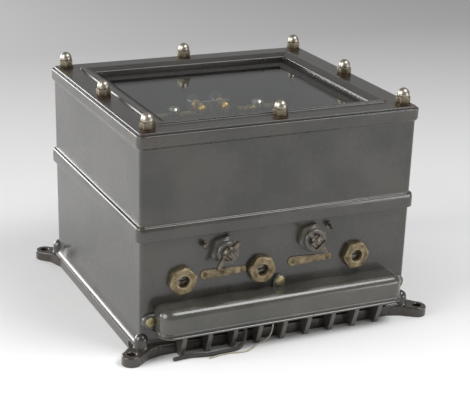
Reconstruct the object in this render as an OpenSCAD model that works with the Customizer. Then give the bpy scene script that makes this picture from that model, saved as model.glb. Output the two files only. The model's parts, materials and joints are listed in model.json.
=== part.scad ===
// Double galvanometer in a glazed cast case.
// Millimetres, +Z up. The front, with its handles, ports and terminal cover,
// faces -Y. The origin is the centre of the four mounting holes, on the underside.

/* [Case] */
// Width of the case across its side walls
case_w = 300; // [270:1:360]
// Depth of the case from the front wall to the back wall
case_d = 270; // [250:1:330]
// Wall thickness of both castings
wall_t = 7; // [6:0.5:9]
// Height of the lower case at its rim
lower_h = 130; // [128:1:156]
// Height from the lower case's rim to the top of the upper flange
upper_h = 98; // [94:1:120]
// Thickness of the lower case's floor
floor_t = 6; // [5:0.5:9]
// Outside radius of the case's upright corners
corner_r = 4; // [3:0.5:6]
// How far the middle band stands out of the walls
band_out = 4; // [3:0.5:6]
// Height of the middle band
band_h = 15; // [13:0.5:18]
// How far the band hangs below the lower case's rim
band_drop = 8; // [5:0.5:10]
// How far the top flange stands out of the walls
flange_out = 3; // [2:0.5:5]
// Height of the top flange
flange_h = 13; // [12:0.5:16]

/* [Base] */
// How far the plinth stands out of the walls
plinth_out = 5; // [3:0.5:8]
// Height of the plinth's upright face
plinth_h = 11.5; // [8:0.5:14]
// Height at which the cove above the plinth meets the wall
cove_top = 25; // [20:1:26]
// Distance of each mounting hole outside the side wall
lug_dx = 13.5; // [12:0.5:18]
// Distance of each mounting hole outside the front or back wall
lug_dy = 11; // [10:0.5:18]
// Radius of each lug's tip
lug_r = 10; // [9:0.5:13]
// Thickness of each lug
lug_t = 10.5; // [8:0.5:11]
// Diameter of each mounting hole
lug_hole_d = 9; // [7:0.5:11]

/* [Window] */
// Distance of the window studs inside the wall faces
stud_in = 11; // [10:0.5:13]
// Diameter of the window studs
stud_d = 6.35; // [5:0.05:8]
// Width across flats of the acorn nuts
nut_af = 13.3; // [11:0.1:15]
// Distance of the window ridge inside the stud lines
ridge_in = 12; // [11:0.5:15]
// Distance of the glass's edge inside the stud lines
glass_in = 21; // [19:0.5:24]
// Thickness of the window glass
glass_t = 6; // [5:0.5:7]
// Depth of the glass below the window frame's ledge
glass_drop = 8.7; // [8:0.1:10]

/* [Front] */
// Height of the clamp handles' axes
clamp_z = 103; // [100:1:106]
// Places of the two clamp handles along X, which are the movements' places too
clamp_x = [-62, 35]; // [-62, 35]
// Throw of each clamp crank
crank_e = 6; // [5:0.5:7]
// Swing of each clamp handle in degrees
clamp_swing = 75; // [60:1:80]
// Height of the three adjusting ports
port_z = 77; // [75:1:80]
// Places of the three adjusting ports along X
port_x = [-107, -21, 87]; // [-107, -21, 87]
// Width across flats of the port bushes and clamp glands
bush_af = 27; // [25:0.5:29]
// Diameter of the adjusting ports' mouths
port_bore_d = 12; // [11:0.5:14]
// Lead of the adjusting screws per turn
screw_lead = 4; // [3:0.5:4]

/* [Terminals] */
// Half length of the terminal cover
cover_half = 136; // [126:1:137]
// Depth of the terminal cover from the wall
cover_depth = 26.4; // [25:0.2:30]
// Height of the terminal cover's lower edge
cover_z0 = 26; // [26:0.5:28]
// Height of the terminal cover's top
cover_z1 = 54.5; // [54:0.5:57]
// Wall thickness of the terminal cover
cover_t = 3; // [2:0.25:4]
// Number of terminals, one for each cable way
terminals = 8; // [4:1:8]
// Pitch of the terminals and of the ribs between the cable ways
rib_pitch = 27.8; // [24:0.2:28]
// Thickness of each rib
rib_t = 5; // [4:0.5:6]

/* [Movement] */
// Thickness of the deck that carries the two movements
deck_t = 5; // [4:0.5:6]
// Radius of each coil's iron core
core_r = 7; // [6:0.25:7.5]
// Radius of the bore between the pole pieces
pole_r = 11.5; // [11.2:0.1:12]
// Diameter of the lamp bulbs
bulb_d = 17; // [14:0.5:18]
// Height of the lamps above the deck
lamp_up = 64; // [62:0.5:66]

/* [Hidden] */
$fn = 48;

// Fits
fit = 0.1;          // gap round a part that is screwed or set in place
run = 0.05;         // radial gap round a part that turns or slides
play = 0.3;         // end float of a part that turns

// Colours
paint_grey = [0.33, 0.33, 0.32];
steel_grey = [0.66, 0.66, 0.64];
buff_brass = [0.62, 0.55, 0.40];
bright_brass = [0.78, 0.62, 0.30];
rubber_black = [0.08, 0.08, 0.08];
copper = [0.72, 0.42, 0.28];

// Case, worked out
half_w = case_w / 2;
half_d = case_d / 2;
in_w = half_w - wall_t;
in_d = half_d - wall_t;
gasket_t = 2;
seat_z = lower_h + gasket_t;
band_z0 = lower_h - band_drop;
band_z1 = band_z0 + band_h;
flange_z1 = lower_h + upper_h;
flange_z0 = flange_z1 - flange_h;
boss_in = 7;
boss_x = in_w - boss_in;
boss_y = in_d - boss_in;
boss_r = 8;
gusset_r = 7;
lug_x = half_w + lug_dx;
lug_y = half_d + lug_dy;
screw_d = 6;

// Window, worked out from the studs inwards
stud_x = half_w - stud_in;
stud_y = half_d - stud_in;
stud_at = [for (i = [-1:1], j = [-1:1]) if (i != 0 || j != 0) [i * stud_x, j * stud_y]];
rebate = 3;
frame_t = 4;
window_gasket_t = 1;
frame_z0 = flange_z1 - rebate + window_gasket_t;
ledge_z = frame_z0 + frame_t;
ridge_t = 4;
ridge_h = 2;
slope_drop = 1;
ridge_x = stud_x - ridge_in;
ridge_y = stud_y - ridge_in;
glass_x = stud_x - glass_in;
glass_y = stud_y - glass_in;
lip_t = 4;
glass_z1 = ledge_z - glass_drop;
glass_z0 = glass_z1 - glass_t;
seal_t = 1;
lower_seal_t = 2;
spigot_t = 5;
spigot_z0 = glass_z0 - lower_seal_t;
glass_gap = 0.5;
spigot_gap = 0.5;
retainer_t = 3;
retainer_in = 6;
washer_t = 1.5;
nut_hex_h = 7.2;
nut_h = 15.8;
nut_bore_h = 11.2;
nut_z0 = ledge_z + washer_t;

// Front hardware, in distances outwards from the front wall
hex_r = bush_af / 2 / cos(30);
gland_h = 6;
gland_boss_r = 12;
gland_boss_h = 12;
gland_barrel_r = 8;
spindle_r = 4;
locknut_t = 3;
barrel_in = wall_t + locknut_t;
bush_h = 7;
bush_barrel_r = 10;
port_floor = -3;
adjust_r = 3;
head_r = port_bore_d / 2 - 0.5;
head_h = 4;
crank_r = 10;
crank_t = 4;
crank_pin_r = 2;
crank_z0 = -barrel_in - play - crank_t;
handle_z0 = gland_boss_h + play;
handle_t = 3;
handle_hub_r = 8;
handle_rest = [228, 312];

// Clamp lifters
lifter_t = 4;
lifter_half = 12;
crank_gap = 2.7;
lifter_z0 = crank_z0 - crank_gap - lifter_t;
pin_rise = crank_e * sin(clamp_swing / 2);
lift = 2 * pin_rise;

// Terminals
block_t = 10;
block_z0 = cover_z0 + 10;
block_z1 = cover_z1 - cover_t - 1.5;
terminal_z = (block_z0 + block_z1) / 2;
terminal_r = 2.5;
terminal_af = 8;
terminal_at = [for (i = [0:terminals - 1]) (i - (terminals - 1) / 2) * rib_pitch];
cover_ear_r = 8;
cover_ear_t = 3.5;
cover_ear_z = cover_z0 + 11.5;
cover_top_ear_z = cover_z1 + 6.5;
cover_screw_at = [[-cover_half - 5, cover_ear_z], [cover_half + 5, cover_ear_z],
    [0, cover_top_ear_z]];

// Deck and movements
deck_z1 = seat_z + 8;
deck_z0 = deck_z1 - deck_t;
pillar_x = in_w - 15;
pillar_y = in_d - 33;
pillar_r = 7;
deck_half_w = pillar_x + 8;
deck_half_d = pillar_y + 8;
guide_wall = 2.5;
magnet_half = 24;
limb_t = 9;
magnet_base_h = 8;
magnet_half_d = 12;
limb_z1 = deck_z1 + 50;
pole_z0 = deck_z1 + 24;
pole_z1 = deck_z1 + 46;
coil_out = 10;
coil_bar = 2;
coil_half_t = 2.5;
coil_z0 = deck_z1 + 21;
coil_z1 = deck_z1 + 49;
core_z0 = coil_z0 + 4;
core_z1 = coil_z1 - 4;
bridge_z0 = limb_z1 + 6;
bridge_t = 4;
lamp_z = deck_z1 + lamp_up;
lamp_x = [-32, -5];
lamp_cap_r = 5.5;
arm_z0 = port_z + 10;
arm_t = 4;
arm_pin_r = 2;
rail_y = 18;
rail_t = 8;
rod_drop = 17;
rod_r = 2;
carriage_half = 9;
carriage_half_d = 8;
carriage_z0 = port_z - rod_drop - 5;
carriage_z1 = arm_z0 - 1;
lifter_arm_t = 3.5;
lifter_arm_z0 = deck_z1 + magnet_base_h + 1.5;

// Routes of the two loose wires, from the terminal chamber to their cut ends
wire_r = 0.8;
wire_route = [[-12, -151, 31], [-12, -151, 24], [-12, -151, 17], [-13, -150.5, 11],
    [-15, -150, 6], [-18.5, -149.5, 2.5], [-23, -150, 1], [-28, -152, 0.9],
    [-33, -155, 0.9], [-37.5, -158.5, 0.9], [-42, -161.5, 0.9], [-47.5, -163.5, 0.9],
    [-53, -163.5, 0.9], [-58.5, -162.5, 0.9], [-64, -161.5, 0.9], [-70, -161.5, 0.9],
    [-76, -162, 0.9], [-82, -163, 0.9], [-88, -164.5, 0.9]];
lead_r = 2;
lead_route = [[-43, -150, 31], [-43, -150, 25], [-43, -150.5, 19], [-43.5, -151.5, 13.5],
    [-45, -153, 8.5], [-48.5, -155, 4.5], [-54, -156.5, 2.4], [-60.5, -157.5, 2.1],
    [-67, -158, 2.1], [-74, -158.5, 2.1], [-81, -159, 2.1], [-88, -158.5, 2.1],
    [-95, -157, 2.1], [-102, -155.5, 2.1], [-109, -155, 2.1], [-116, -155.5, 2.1],
    [-123, -156.5, 2.1]];

// ---------- shared shapes ----------

// Rounded rectangle made of two squares and four circles
module rrect(w, d, r) {
    square([w - 2 * r, d], center = true);
    square([w, d - 2 * r], center = true);
    for (i = [-1, 1], j = [-1, 1]) {
        translate([i * (w / 2 - r), j * (d / 2 - r)]) circle(r);
    }
}

// Rounded block from half sizes, between two heights
module block(hw, hd, r, z0, z1) {
    translate([0, 0, z0]) linear_extrude(z1 - z0) rrect(2 * hw, 2 * hd, r);
}

// Rectangular ring between two pairs of half sizes
module ring(hw, hd, r, in_hw, in_hd, in_r, z0, z1) {
    difference() {
        block(hw, hd, r, z0, z1);
        block(in_hw, in_hd, in_r, z0 - 1, z1 + 1);
    }
}

// Carries a profile round a rounded rectangle of half sizes hw and hd.
// The profile's x is the distance outwards from the rectangle, its y is the height.
module around(hw, hd, r) {
    for (a = [0, 180]) rotate([0, 0, a]) {
        translate([hw, hd - r, 0]) rotate([90, 0, 0]) linear_extrude(2 * (hd - r)) children();
        rotate([0, 0, 90]) translate([hd, hw - r, 0]) rotate([90, 0, 0])
            linear_extrude(2 * (hw - r)) children();
        translate([hw - r, hd - r, 0]) rotate_extrude(angle = 90) translate([r, 0]) children();
        translate([-hw + r, hd - r, 0]) rotate([0, 0, 90]) rotate_extrude(angle = 90)
            translate([r, 0]) children();
    }
}

// Puts a shape on the front wall: its z then points outwards and its y upwards
module at_front(x, z) {
    translate([x, -half_d, z]) rotate([90, 0, 0]) children();
}

// Hexagonal prism by its width across flats, with chamfered corners on top
module hex_prism(af, h, chamfer = 1) {
    intersection() {
        cylinder(r = af / 2 / cos(30), h = h, $fn = 6);
        union() {
            cylinder(r = af / 2 / cos(30) + 0.1, h = h - chamfer, $fn = 60);
            translate([0, 0, h - chamfer])
                cylinder(r1 = af / 2 / cos(30) + 0.1, r2 = af / 2 - 0.4, h = chamfer, $fn = 60);
        }
    }
}

// Round-headed screw: shank down from z = 0, head up, with a slot
module round_screw(r, length, head, head_h) {
    difference() {
        union() {
            translate([0, 0, -length]) cylinder(r = r, h = length);
            intersection() {
                cylinder(r = head, h = head_h);
                translate([0, 0, head_h - head * 1.25]) sphere(head * 1.25);
            }
        }
        translate([-head, -head * 0.13, head_h * 0.5]) cube([2 * head, head * 0.26, head_h]);
    }
}

// Tube swept along a route, one ring of sides at each point
function unit(v) = v / norm(v);
function tangent(p, i) = unit(p[min(i + 1, len(p) - 1)] - p[max(i - 1, 0)]);
function side_of(t) = unit(abs(t[2]) < 0.9 ? cross(t, [0, 0, 1]) : cross(t, [0, 1, 0]));
function frames(p, i = 0, last = undef) =
    i == len(p) ? [] :
    let (t = tangent(p, i), s = last == undef ? side_of(t) : unit(last - (last * t) * t))
    concat([[t, s]], frames(p, i + 1, s));
module tube(route, r, sides = 8) {
    f = frames(route);
    n = len(route);
    points = [for (i = [0:n - 1], k = [0:sides - 1])
        route[i] + r * (cos(360 * k / sides) * f[i][1]
            + sin(360 * k / sides) * cross(f[i][0], f[i][1]))];
    walls = [for (i = [0:n - 2], k = [0:sides - 1]) let (m = (k + 1) % sides)
        [i * sides + k, i * sides + m, (i + 1) * sides + m, (i + 1) * sides + k]];
    first = [[for (k = [sides - 1:-1:0]) k]];
    final = [[for (k = [0:sides - 1]) (n - 1) * sides + k]];
    polyhedron(points, [for (w = concat(first, walls, final)) [for (k = [len(w) - 1:-1:0]) w[k]]]);
}

// ---------- lower case ----------

// One lug with its arms along both walls, for the corner at +X and +Y
module lug() {
    reach_x = half_w - 26;
    reach_y = half_d - 28;
    tip = lug_r / sqrt(2);
    difference() {
        union() {
            linear_extrude(lug_t) union() {
                polygon([[reach_x, half_d], [reach_x, half_d + plinth_out - 0.5],
                    [half_w - 8, half_d + plinth_out + 2.5],
                    [lug_x - tip, lug_y + tip], [lug_x + tip, lug_y - tip],
                    [half_w + plinth_out + 2.5, half_d - 9],
                    [half_w + plinth_out - 0.5, reach_y], [half_w, reach_y]]);
                translate([lug_x, lug_y]) circle(lug_r);
            }
            // Rounded gusset between the lug and the corner of the wall
            translate([half_w - 1, half_d - 1, 0])
                cylinder(r = gusset_r, h = cove_top - gusset_r);
            translate([half_w - 1, half_d - 1, cove_top - gusset_r]) sphere(gusset_r);
        }
        translate([lug_x, lug_y, -1]) cylinder(d = lug_hole_d, h = lug_t + 2);
    }
}

// Plinth and cove profile, which the ribs' backs follow too
cove_steps = 6;
function cove(i) = let (a = 90 * i / cove_steps)
    [plinth_out * (1 - sin(a)), cove_top - (cove_top - plinth_h) * cos(a)];
plinth_line = concat([[plinth_out, 0], [plinth_out, plinth_h - 1.5],
    [plinth_out - 0.8, plinth_h]], [for (i = [1:cove_steps]) cove(i)]);

module front_holes() {
    for (x = port_x) at_front(x, port_z) translate([0, 0, -wall_t - 1])
        cylinder(r = bush_barrel_r, h = wall_t + 2);
    for (x = clamp_x) at_front(x, clamp_z) translate([0, 0, -wall_t - 1])
        cylinder(r = gland_barrel_r, h = wall_t + 2);
    for (x = terminal_at) at_front(x, terminal_z) translate([0, 0, -wall_t - 1])
        cylinder(r = terminal_r + fit, h = wall_t + 2);
    for (p = cover_screw_at) at_front(p[0], p[1]) translate([0, 0, -5])
        cylinder(r = 2 + fit, h = 6);
    for (p = peg_at) at_front(p[0], p[1]) translate([0, 0, -4]) cylinder(r = peg_r + fit, h = 5);
    for (p = plate_screw_at) at_front(p[0], p[1]) translate([0, 0, -4])
        cylinder(r = plate_screw_r + fit, h = 5);
    for (x = port_x) at_front(x, port_z - rod_drop) translate([0, 0, -wall_t - 1])
        cylinder(r = rod_r + fit, h = 4);
}

module lower_case() {
    color(paint_grey) difference() {
        union() {
            difference() {
                block(half_w, half_d, corner_r, 0, lower_h);
                block(in_w, in_d, 1.5, floor_t, lower_h + 1);
            }
            around(half_w, half_d, corner_r)
                polygon(concat([[-1, 0]], plinth_line, [[-1, cove_top]]));
            for (i = [0, 1], j = [0, 1]) mirror([i, 0, 0]) mirror([0, j, 0]) lug();
            // Corner bosses for the upper case's screws, and bosses under the deck pillars
            for (i = [-1, 1], j = [-1, 1]) {
                translate([i * boss_x, j * boss_y, floor_t - 1])
                    cylinder(r = boss_r, h = lower_h - floor_t + 1);
                translate([i * pillar_x, j * pillar_y, floor_t - 1])
                    cylinder(r = pillar_r + 3, h = 5);
            }
        }
        for (i = [-1, 1], j = [-1, 1]) translate([i * boss_x, j * boss_y, lower_h - 14])
            cylinder(d = screw_d + 2 * fit, h = 15);
        front_holes();
    }
}

// Ribs between the cable ways, under the terminal cover
module cable_ribs() {
    nose_r = 2.5;
    foot = plinth_out + 10;
    head = cover_depth - 4;
    color(paint_grey) for (i = [0:terminals]) translate([(i - terminals / 2) * rib_pitch, 0, 0])
        at_front(0, 0) rotate([0, -90, 0]) translate([0, 0, -rib_t / 2]) linear_extrude(rib_t) {
            polygon(concat(plinth_line, [[0, cover_z0 - 0.5], [head, cover_z0 - 0.5],
                [head - 1, cover_z0 - 6], [foot, nose_r], [foot - nose_r, 0]]));
            translate([foot - nose_r, nose_r]) circle(nose_r);
        }
}

// ---------- upper case ----------

module flange_profile() {
    r = 2.5;
    translate([-1.5, flange_z0 + 2]) square([flange_out + 1.5, flange_h - 2 - r]);
    translate([-1.5, flange_z1 - r - 0.5]) square([flange_out + 1.5 - r, r + 0.5]);
    translate([flange_out - r, flange_z1 - r]) circle(r);
    polygon([[-1.5, flange_z0 - 2], [0.2, flange_z0], [flange_out, flange_z0 + 2.2],
        [-1.5, flange_z0 + 2.2]]);
}

module band_profile() {
    r = 3;
    translate([-1.5, seat_z]) square([band_out + 1.5 - r, band_z1 - seat_z]);
    translate([play, band_z0 + 1]) square([band_out - play, band_z1 - r - band_z0 - 1]);
    polygon([[play, band_z0 + 1.1], [play, band_z0], [band_out - 1.2, band_z0],
        [band_out, band_z0 + 1.1]]);
    translate([band_out - r, band_z1 - r]) circle(r);
}

module upper_case() {
    color(paint_grey) difference() {
        union() {
            difference() {
                block(half_w, half_d, corner_r, seat_z, flange_z1);
                block(in_w, in_d, 1.5, seat_z - 1, flange_z0 - 2);
            }
            around(half_w, half_d, corner_r) flange_profile();
            difference() {
                around(half_w, half_d, corner_r) band_profile();
                block(half_w + play, half_d + play, corner_r + play, band_z0 - 1, seat_z);
            }
            for (i = [-1, 1], j = [-1, 1]) translate([i * boss_x, j * boss_y, seat_z])
                cylinder(r = boss_r, h = 10);
        }
        // Window opening, and the rebate that the window frame sits in
        block(glass_x + glass_gap + spigot_t + spigot_gap, glass_y + glass_gap + spigot_t
            + spigot_gap, 5, flange_z0 - 3, flange_z1 + 1);
        block(half_w + play, half_d + play, corner_r, flange_z1 - rebate, flange_z1 + 1);
        for (p = stud_at) translate([p[0], p[1], flange_z0 - 3])
            cylinder(d = stud_d + 2 * fit, h = flange_h + 5);
        for (i = [-1, 1], j = [-1, 1]) translate([i * boss_x, j * boss_y, seat_z - 1])
            cylinder(d = screw_d + 2 * fit, h = 12);
    }
}

module case_gasket() {
    color(rubber_black) difference() {
        union() {
            ring(half_w, half_d, corner_r, in_w, in_d, 1.5, lower_h, seat_z);
            for (i = [-1, 1], j = [-1, 1]) translate([i * boss_x, j * boss_y, lower_h])
                cylinder(r = boss_r, h = gasket_t);
        }
        for (i = [-1, 1], j = [-1, 1]) translate([i * boss_x, j * boss_y, lower_h - 1])
            cylinder(d = screw_d + 2 * fit, h = gasket_t + 2);
    }
}

// Screws of one pattern: four hold the upper case down, four hold the deck
module fixing_screws() {
    color(steel_grey) {
        for (i = [-1, 1], j = [-1, 1]) {
            translate([i * boss_x, j * boss_y, seat_z + 10])
                round_screw(screw_d / 2, 20, 5.5, 4);
            translate([i * pillar_x, j * pillar_y, deck_z1])
                round_screw(screw_d / 2, 12, 5.5, 4);
        }
    }
}

// ---------- window ----------

module window_gasket() {
    color(rubber_black) difference() {
        ring(half_w - 0.5, half_d - 0.5, corner_r, glass_x + glass_gap + spigot_t + 1,
            glass_y + glass_gap + spigot_t + 1, 5, flange_z1 - rebate, frame_z0);
        for (p = stud_at) translate([p[0], p[1], flange_z1 - rebate - 1])
            cylinder(d = stud_d + 2 * fit, h = window_gasket_t + 2);
    }
}

module window_studs() {
    color(steel_grey) for (p = stud_at) translate([p[0], p[1], flange_z0])
        cylinder(d = stud_d, h = nut_z0 + 10 - flange_z0);
}

module window_frame() {
    lip_x = glass_x - lip_t;
    lip_y = glass_y - lip_t;
    slope_w = ridge_x - ridge_t - lip_x;
    slope_z = [ledge_z - slope_drop, ledge_z + ridge_h, ledge_z + ridge_h + 1];
    color(paint_grey) difference() {
        union() {
            block(half_w, half_d, corner_r, frame_z0, ledge_z - 1);
            block(half_w - 0.5, half_d - 0.5, corner_r, ledge_z - 1.1, ledge_z);
            block(ridge_x, ridge_y, 4, ledge_z - 0.5, ledge_z + ridge_h - 0.8);
            block(ridge_x - 0.7, ridge_y - 0.7, 3.5, ledge_z, ledge_z + ridge_h);
            block(glass_x + glass_gap + spigot_t, glass_y + glass_gap + spigot_t, 4.5,
                spigot_z0, frame_z0 + 1);
        }
        block(lip_x, lip_y, 2, spigot_z0 - 1, ledge_z + ridge_h + 1);
        // Slope from the ridge down to the lip
        around(lip_x, lip_y, 2) polygon([[-1, slope_z[0]], [0, slope_z[0]],
            [slope_w, slope_z[1]], [slope_w, slope_z[2]], [-1, slope_z[2]]]);
        block(glass_x + glass_gap, glass_y + glass_gap, 1.5, spigot_z0 - 1, glass_z1 + seal_t);
        for (p = stud_at) translate([p[0], p[1], frame_z0 - 1])
            cylinder(d = stud_d + 0.8, h = frame_t + 2);
        for (p = retainer_at) translate([p[0], p[1], spigot_z0 - 1]) cylinder(r = 1 + fit, h = 6);
    }
}

module window_glass() {
    color([0.55, 0.6, 0.6, 0.4]) block(glass_x, glass_y, 1.5, glass_z0, glass_z1);
}

// Rubber strips above and below the edge of the glass
module glass_seals() {
    color(rubber_black) {
        ring(glass_x, glass_y, 1.5, glass_x - lip_t, glass_y - lip_t, 2, glass_z1,
            glass_z1 + seal_t);
        ring(glass_x, glass_y, 1.5, glass_x - lip_t, glass_y - lip_t, 2, spigot_z0, glass_z0);
    }
}

retainer_x = glass_x + glass_gap + spigot_t / 2;
retainer_y = glass_y + glass_gap + spigot_t / 2;
retainer_at = concat([for (i = [-0.6, 0, 0.6], s = [-1, 1]) [i * retainer_x, s * retainer_y]],
    [for (i = [-0.5, 0.5], s = [-1, 1]) [s * retainer_x, i * retainer_y]]);

module glass_retainer() {
    color(bright_brass) difference() {
        ring(glass_x + glass_gap + spigot_t - 0.2, glass_y + glass_gap + spigot_t - 0.2, 4,
            glass_x - retainer_in, glass_y - retainer_in, 2, spigot_z0 - retainer_t, spigot_z0);
        for (p = retainer_at) translate([p[0], p[1], spigot_z0 - retainer_t - 1])
            cylinder(r = 1 + fit, h = retainer_t + 2);
    }
}

module retainer_screws() {
    color(bright_brass) for (p = retainer_at) translate([p[0], p[1], spigot_z0 - retainer_t])
        rotate([180, 0, 0]) round_screw(1, retainer_t + 4, 2, 1.2);
}

module stud_washers() {
    color(steel_grey) for (p = stud_at) translate([p[0], p[1], ledge_z]) difference() {
        cylinder(d = nut_af + 2.2, h = washer_t);
        translate([0, 0, -1]) cylinder(d = stud_d + 0.5, h = washer_t + 2);
    }
}

// Domed nut: hexagonal skirt, a turned neck and a pointed dome
// Outline of the egg-shaped dome: its radius falls with the height
dome_steps = 8;
function dome(i) = let (t = i / dome_steps)
    [nut_af * 0.46 * pow(1 - pow(t, 2.4), 0.62), nut_hex_h + (nut_h - nut_hex_h) * t];

module acorn_nut() {
    difference() {
        union() {
            hex_prism(nut_af, nut_hex_h, 1.2);
            rotate_extrude() polygon(concat([[0, nut_hex_h - 0.5],
                [nut_af * 0.46, nut_hex_h - 0.5]], [for (i = [0:dome_steps]) dome(i)]));
        }
        translate([0, 0, -1]) cylinder(d = stud_d + 0.25, h = nut_bore_h + 1);
    }
}

module acorn_nuts() {
    color(steel_grey) for (p = stud_at) translate([p[0], p[1], nut_z0]) acorn_nut();
}

// ---------- front hardware ----------

peg_at = [[clamp_x[0] - 22.5, clamp_z + 9], [clamp_x[1] + 20, clamp_z + 11]];
plate_half = 20.2;
plate_z = port_z + 2;
plate_end_r = [5.25, 3.1];
plate_l = 50.4;
plate_t = 1.2;
plate_screw_r = 1.2;
peg_r = 2;
plate_screw_at = [for (x = clamp_x, s = [-1, 1]) [x + s * plate_half, plate_z]];

module port_bushes() {
    color(buff_brass) for (x = port_x) at_front(x, port_z) difference() {
        union() {
            hex_prism(bush_af, bush_h, 1.6);
            translate([0, 0, -barrel_in]) cylinder(r = bush_barrel_r - fit, h = barrel_in + 1);
        }
        translate([0, 0, port_floor]) cylinder(d = port_bore_d, h = bush_h + 10);
        translate([0, 0, bush_h - 0.8])
            cylinder(d1 = port_bore_d, d2 = port_bore_d + 1.8, h = 0.9);
        translate([0, 0, -barrel_in - 1]) cylinder(r = adjust_r + run, h = barrel_in + 2);
        // Turned groove round the face
        translate([0, 0, bush_h - 0.4]) difference() {
            cylinder(r = hex_r * 0.74, h = 1);
            translate([0, 0, -1]) cylinder(r = hex_r * 0.70, h = 3);
        }
    }
}

module front_locknuts() {
    color(bright_brass) {
        for (x = port_x) at_front(x, port_z) translate([0, 0, -barrel_in + play]) difference() {
            cylinder(r = hex_r * 0.95, h = locknut_t - play, $fn = 6);
            translate([0, 0, -1]) cylinder(r = bush_barrel_r, h = locknut_t + 2);
        }
        for (x = clamp_x) at_front(x, clamp_z) translate([0, 0, -barrel_in + play]) difference() {
            cylinder(r = hex_r * 0.85, h = locknut_t - play, $fn = 6);
            translate([0, 0, -1]) cylinder(r = gland_barrel_r, h = locknut_t + 2);
        }
    }
}

module clamp_glands() {
    color(paint_grey) for (x = clamp_x) at_front(x, clamp_z) difference() {
        union() {
            hex_prism(bush_af, gland_h, 1.4);
            translate([0, 0, gland_h - 1]) cylinder(r = gland_boss_r, h = gland_boss_h - gland_h);
            translate([0, 0, gland_boss_h - 1.1])
                cylinder(r1 = gland_boss_r, r2 = gland_boss_r - 1, h = 1.1);
            translate([0, 0, -barrel_in]) cylinder(r = gland_barrel_r - fit, h = barrel_in + 1);
        }
        translate([0, 0, -barrel_in - 1]) cylinder(r = spindle_r + run, h = barrel_in + 20);
    }
}

// Spindle with its crank inside the case; s is the side on which the pin lies
module clamp_spindle(x, s) {
    at_front(x, clamp_z) {
        translate([0, 0, crank_z0 + crank_t - 0.5])
            cylinder(r = spindle_r, h = handle_z0 + 5 - crank_z0 - crank_t + 0.5);
        translate([0, 0, crank_z0]) cylinder(r = crank_r, h = crank_t);
        translate([s * crank_e * cos(clamp_swing / 2), -pin_rise, lifter_z0 - 1])
            cylinder(r = crank_pin_r, h = lifter_t + crank_gap + 2);
        // Domed end that holds the handle
        translate([0, 0, handle_z0 + 4.9]) cylinder(r1 = spindle_r, r2 = spindle_r - 1.5, h = 1.5);
    }
}

// Handle with its pointer and a raised finger wing; angle is that of the pointer
module clamp_handle(x, angle) {
    at_front(x, clamp_z) translate([0, 0, handle_z0]) rotate([0, 0, angle]) difference() {
        union() {
            cylinder(r = handle_hub_r, h = handle_t);
            translate([0, 0, handle_t - 0.1]) cylinder(r1 = handle_hub_r - 1, r2 = 5.6, h = 1.8);
            linear_extrude(handle_t - 0.6)
                polygon([[0, -3.6], [16, -1.9], [20.5, 0], [16, 1.9], [0, 3.6]]);
            linear_extrude(handle_t) union() {
                translate([-13.5, -2]) square([13.5, 4]);
                translate([-13.5, 0]) circle(2);
            }
            for (s = [-1, 1]) translate([s * 4.6, -6.5, handle_t - 1])
                translate([-0.9, 0, 0]) cube([1.8, 13, 4.2]);
        }
        translate([0, 0, -1]) cylinder(r = spindle_r + 0.02, h = handle_t + 10);
    }
}

module clamp_spindle_left() { color(steel_grey) clamp_spindle(clamp_x[0], 1); }
module clamp_spindle_right() { color(steel_grey) clamp_spindle(clamp_x[1], -1); }
module clamp_handle_left() { color(steel_grey) clamp_handle(clamp_x[0], handle_rest[0]); }
module clamp_handle_right() { color(steel_grey) clamp_handle(clamp_x[1], handle_rest[1]); }

// Plates under the handles, left plain
// Points of an arc about [cx, 0]
arc_steps = 14;
function arc_points(cx, r, from, to) = [for (i = [0:arc_steps])
    let (a = from + (to - from) * i / arc_steps) [cx + r * cos(a), r * sin(a)]];

// Tapered outline with a large and a small round end, drawn in by an inset
module plate_outline(inset) {
    x = [plate_end_r[0] - plate_l / 2, plate_l / 2 - plate_end_r[1]];
    r = [plate_end_r[0] - inset, plate_end_r[1] - inset];
    lean = asin((r[0] - r[1]) / (x[1] - x[0]));
    polygon(concat(arc_points(x[0], r[0], 90 - lean, 270 + lean),
        arc_points(x[1], r[1], lean - 90, 90 - lean)));
}

module label_plates() {
    border_in = 0.95;
    border_w = 0.3;
    color(buff_brass) for (x = clamp_x) at_front(x, plate_z) difference() {
        linear_extrude(plate_t) plate_outline(0);
        for (s = [-1, 1]) translate([s * plate_half, 0, -1])
            cylinder(r = plate_screw_r + fit, h = plate_t + 4);
        translate([0, 0, plate_t - 0.3]) linear_extrude(1) difference() {
            plate_outline(border_in);
            plate_outline(border_in + border_w);
        }
    }
}

module label_plate_screws() {
    color(steel_grey) for (p = plate_screw_at) at_front(p[0], p[1])
        translate([0, 0, plate_t]) rotate([0, 0, p[0]]) round_screw(plate_screw_r, 4.5, 2.2, 1.4);
}

// Drilled pegs for a seal wire, one by each handle
module seal_pegs() {
    color(steel_grey) for (p = peg_at) at_front(p[0], p[1]) difference() {
        union() {
            translate([0, 0, -3.5]) cylinder(r = peg_r, h = 10.5);
            cylinder(r = peg_r + 1.4, h = 1.5);
            translate([0, 0, 7]) sphere(peg_r + 0.9);
        }
        translate([0, 5, 7]) rotate([90, 0, 0]) cylinder(r = 0.9, h = 10);
    }
}

// ---------- terminals ----------

// Outline of the terminal cover seen from the end: depth across, height up
module cover_end(depth, h, r) {
    square([depth - r, h]);
    square([depth, h - r]);
    translate([depth - r, h - r]) circle(r);
}

// Plan of the terminal cover with rounded front corners
module cover_plan(half, depth, r) {
    translate([-half + r, 0]) square([2 * (half - r), depth]);
    translate([-half, 0]) square([2 * half, depth - r]);
    for (s = [-1, 1]) translate([s * (half - r), depth - r]) circle(r);
}

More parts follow.
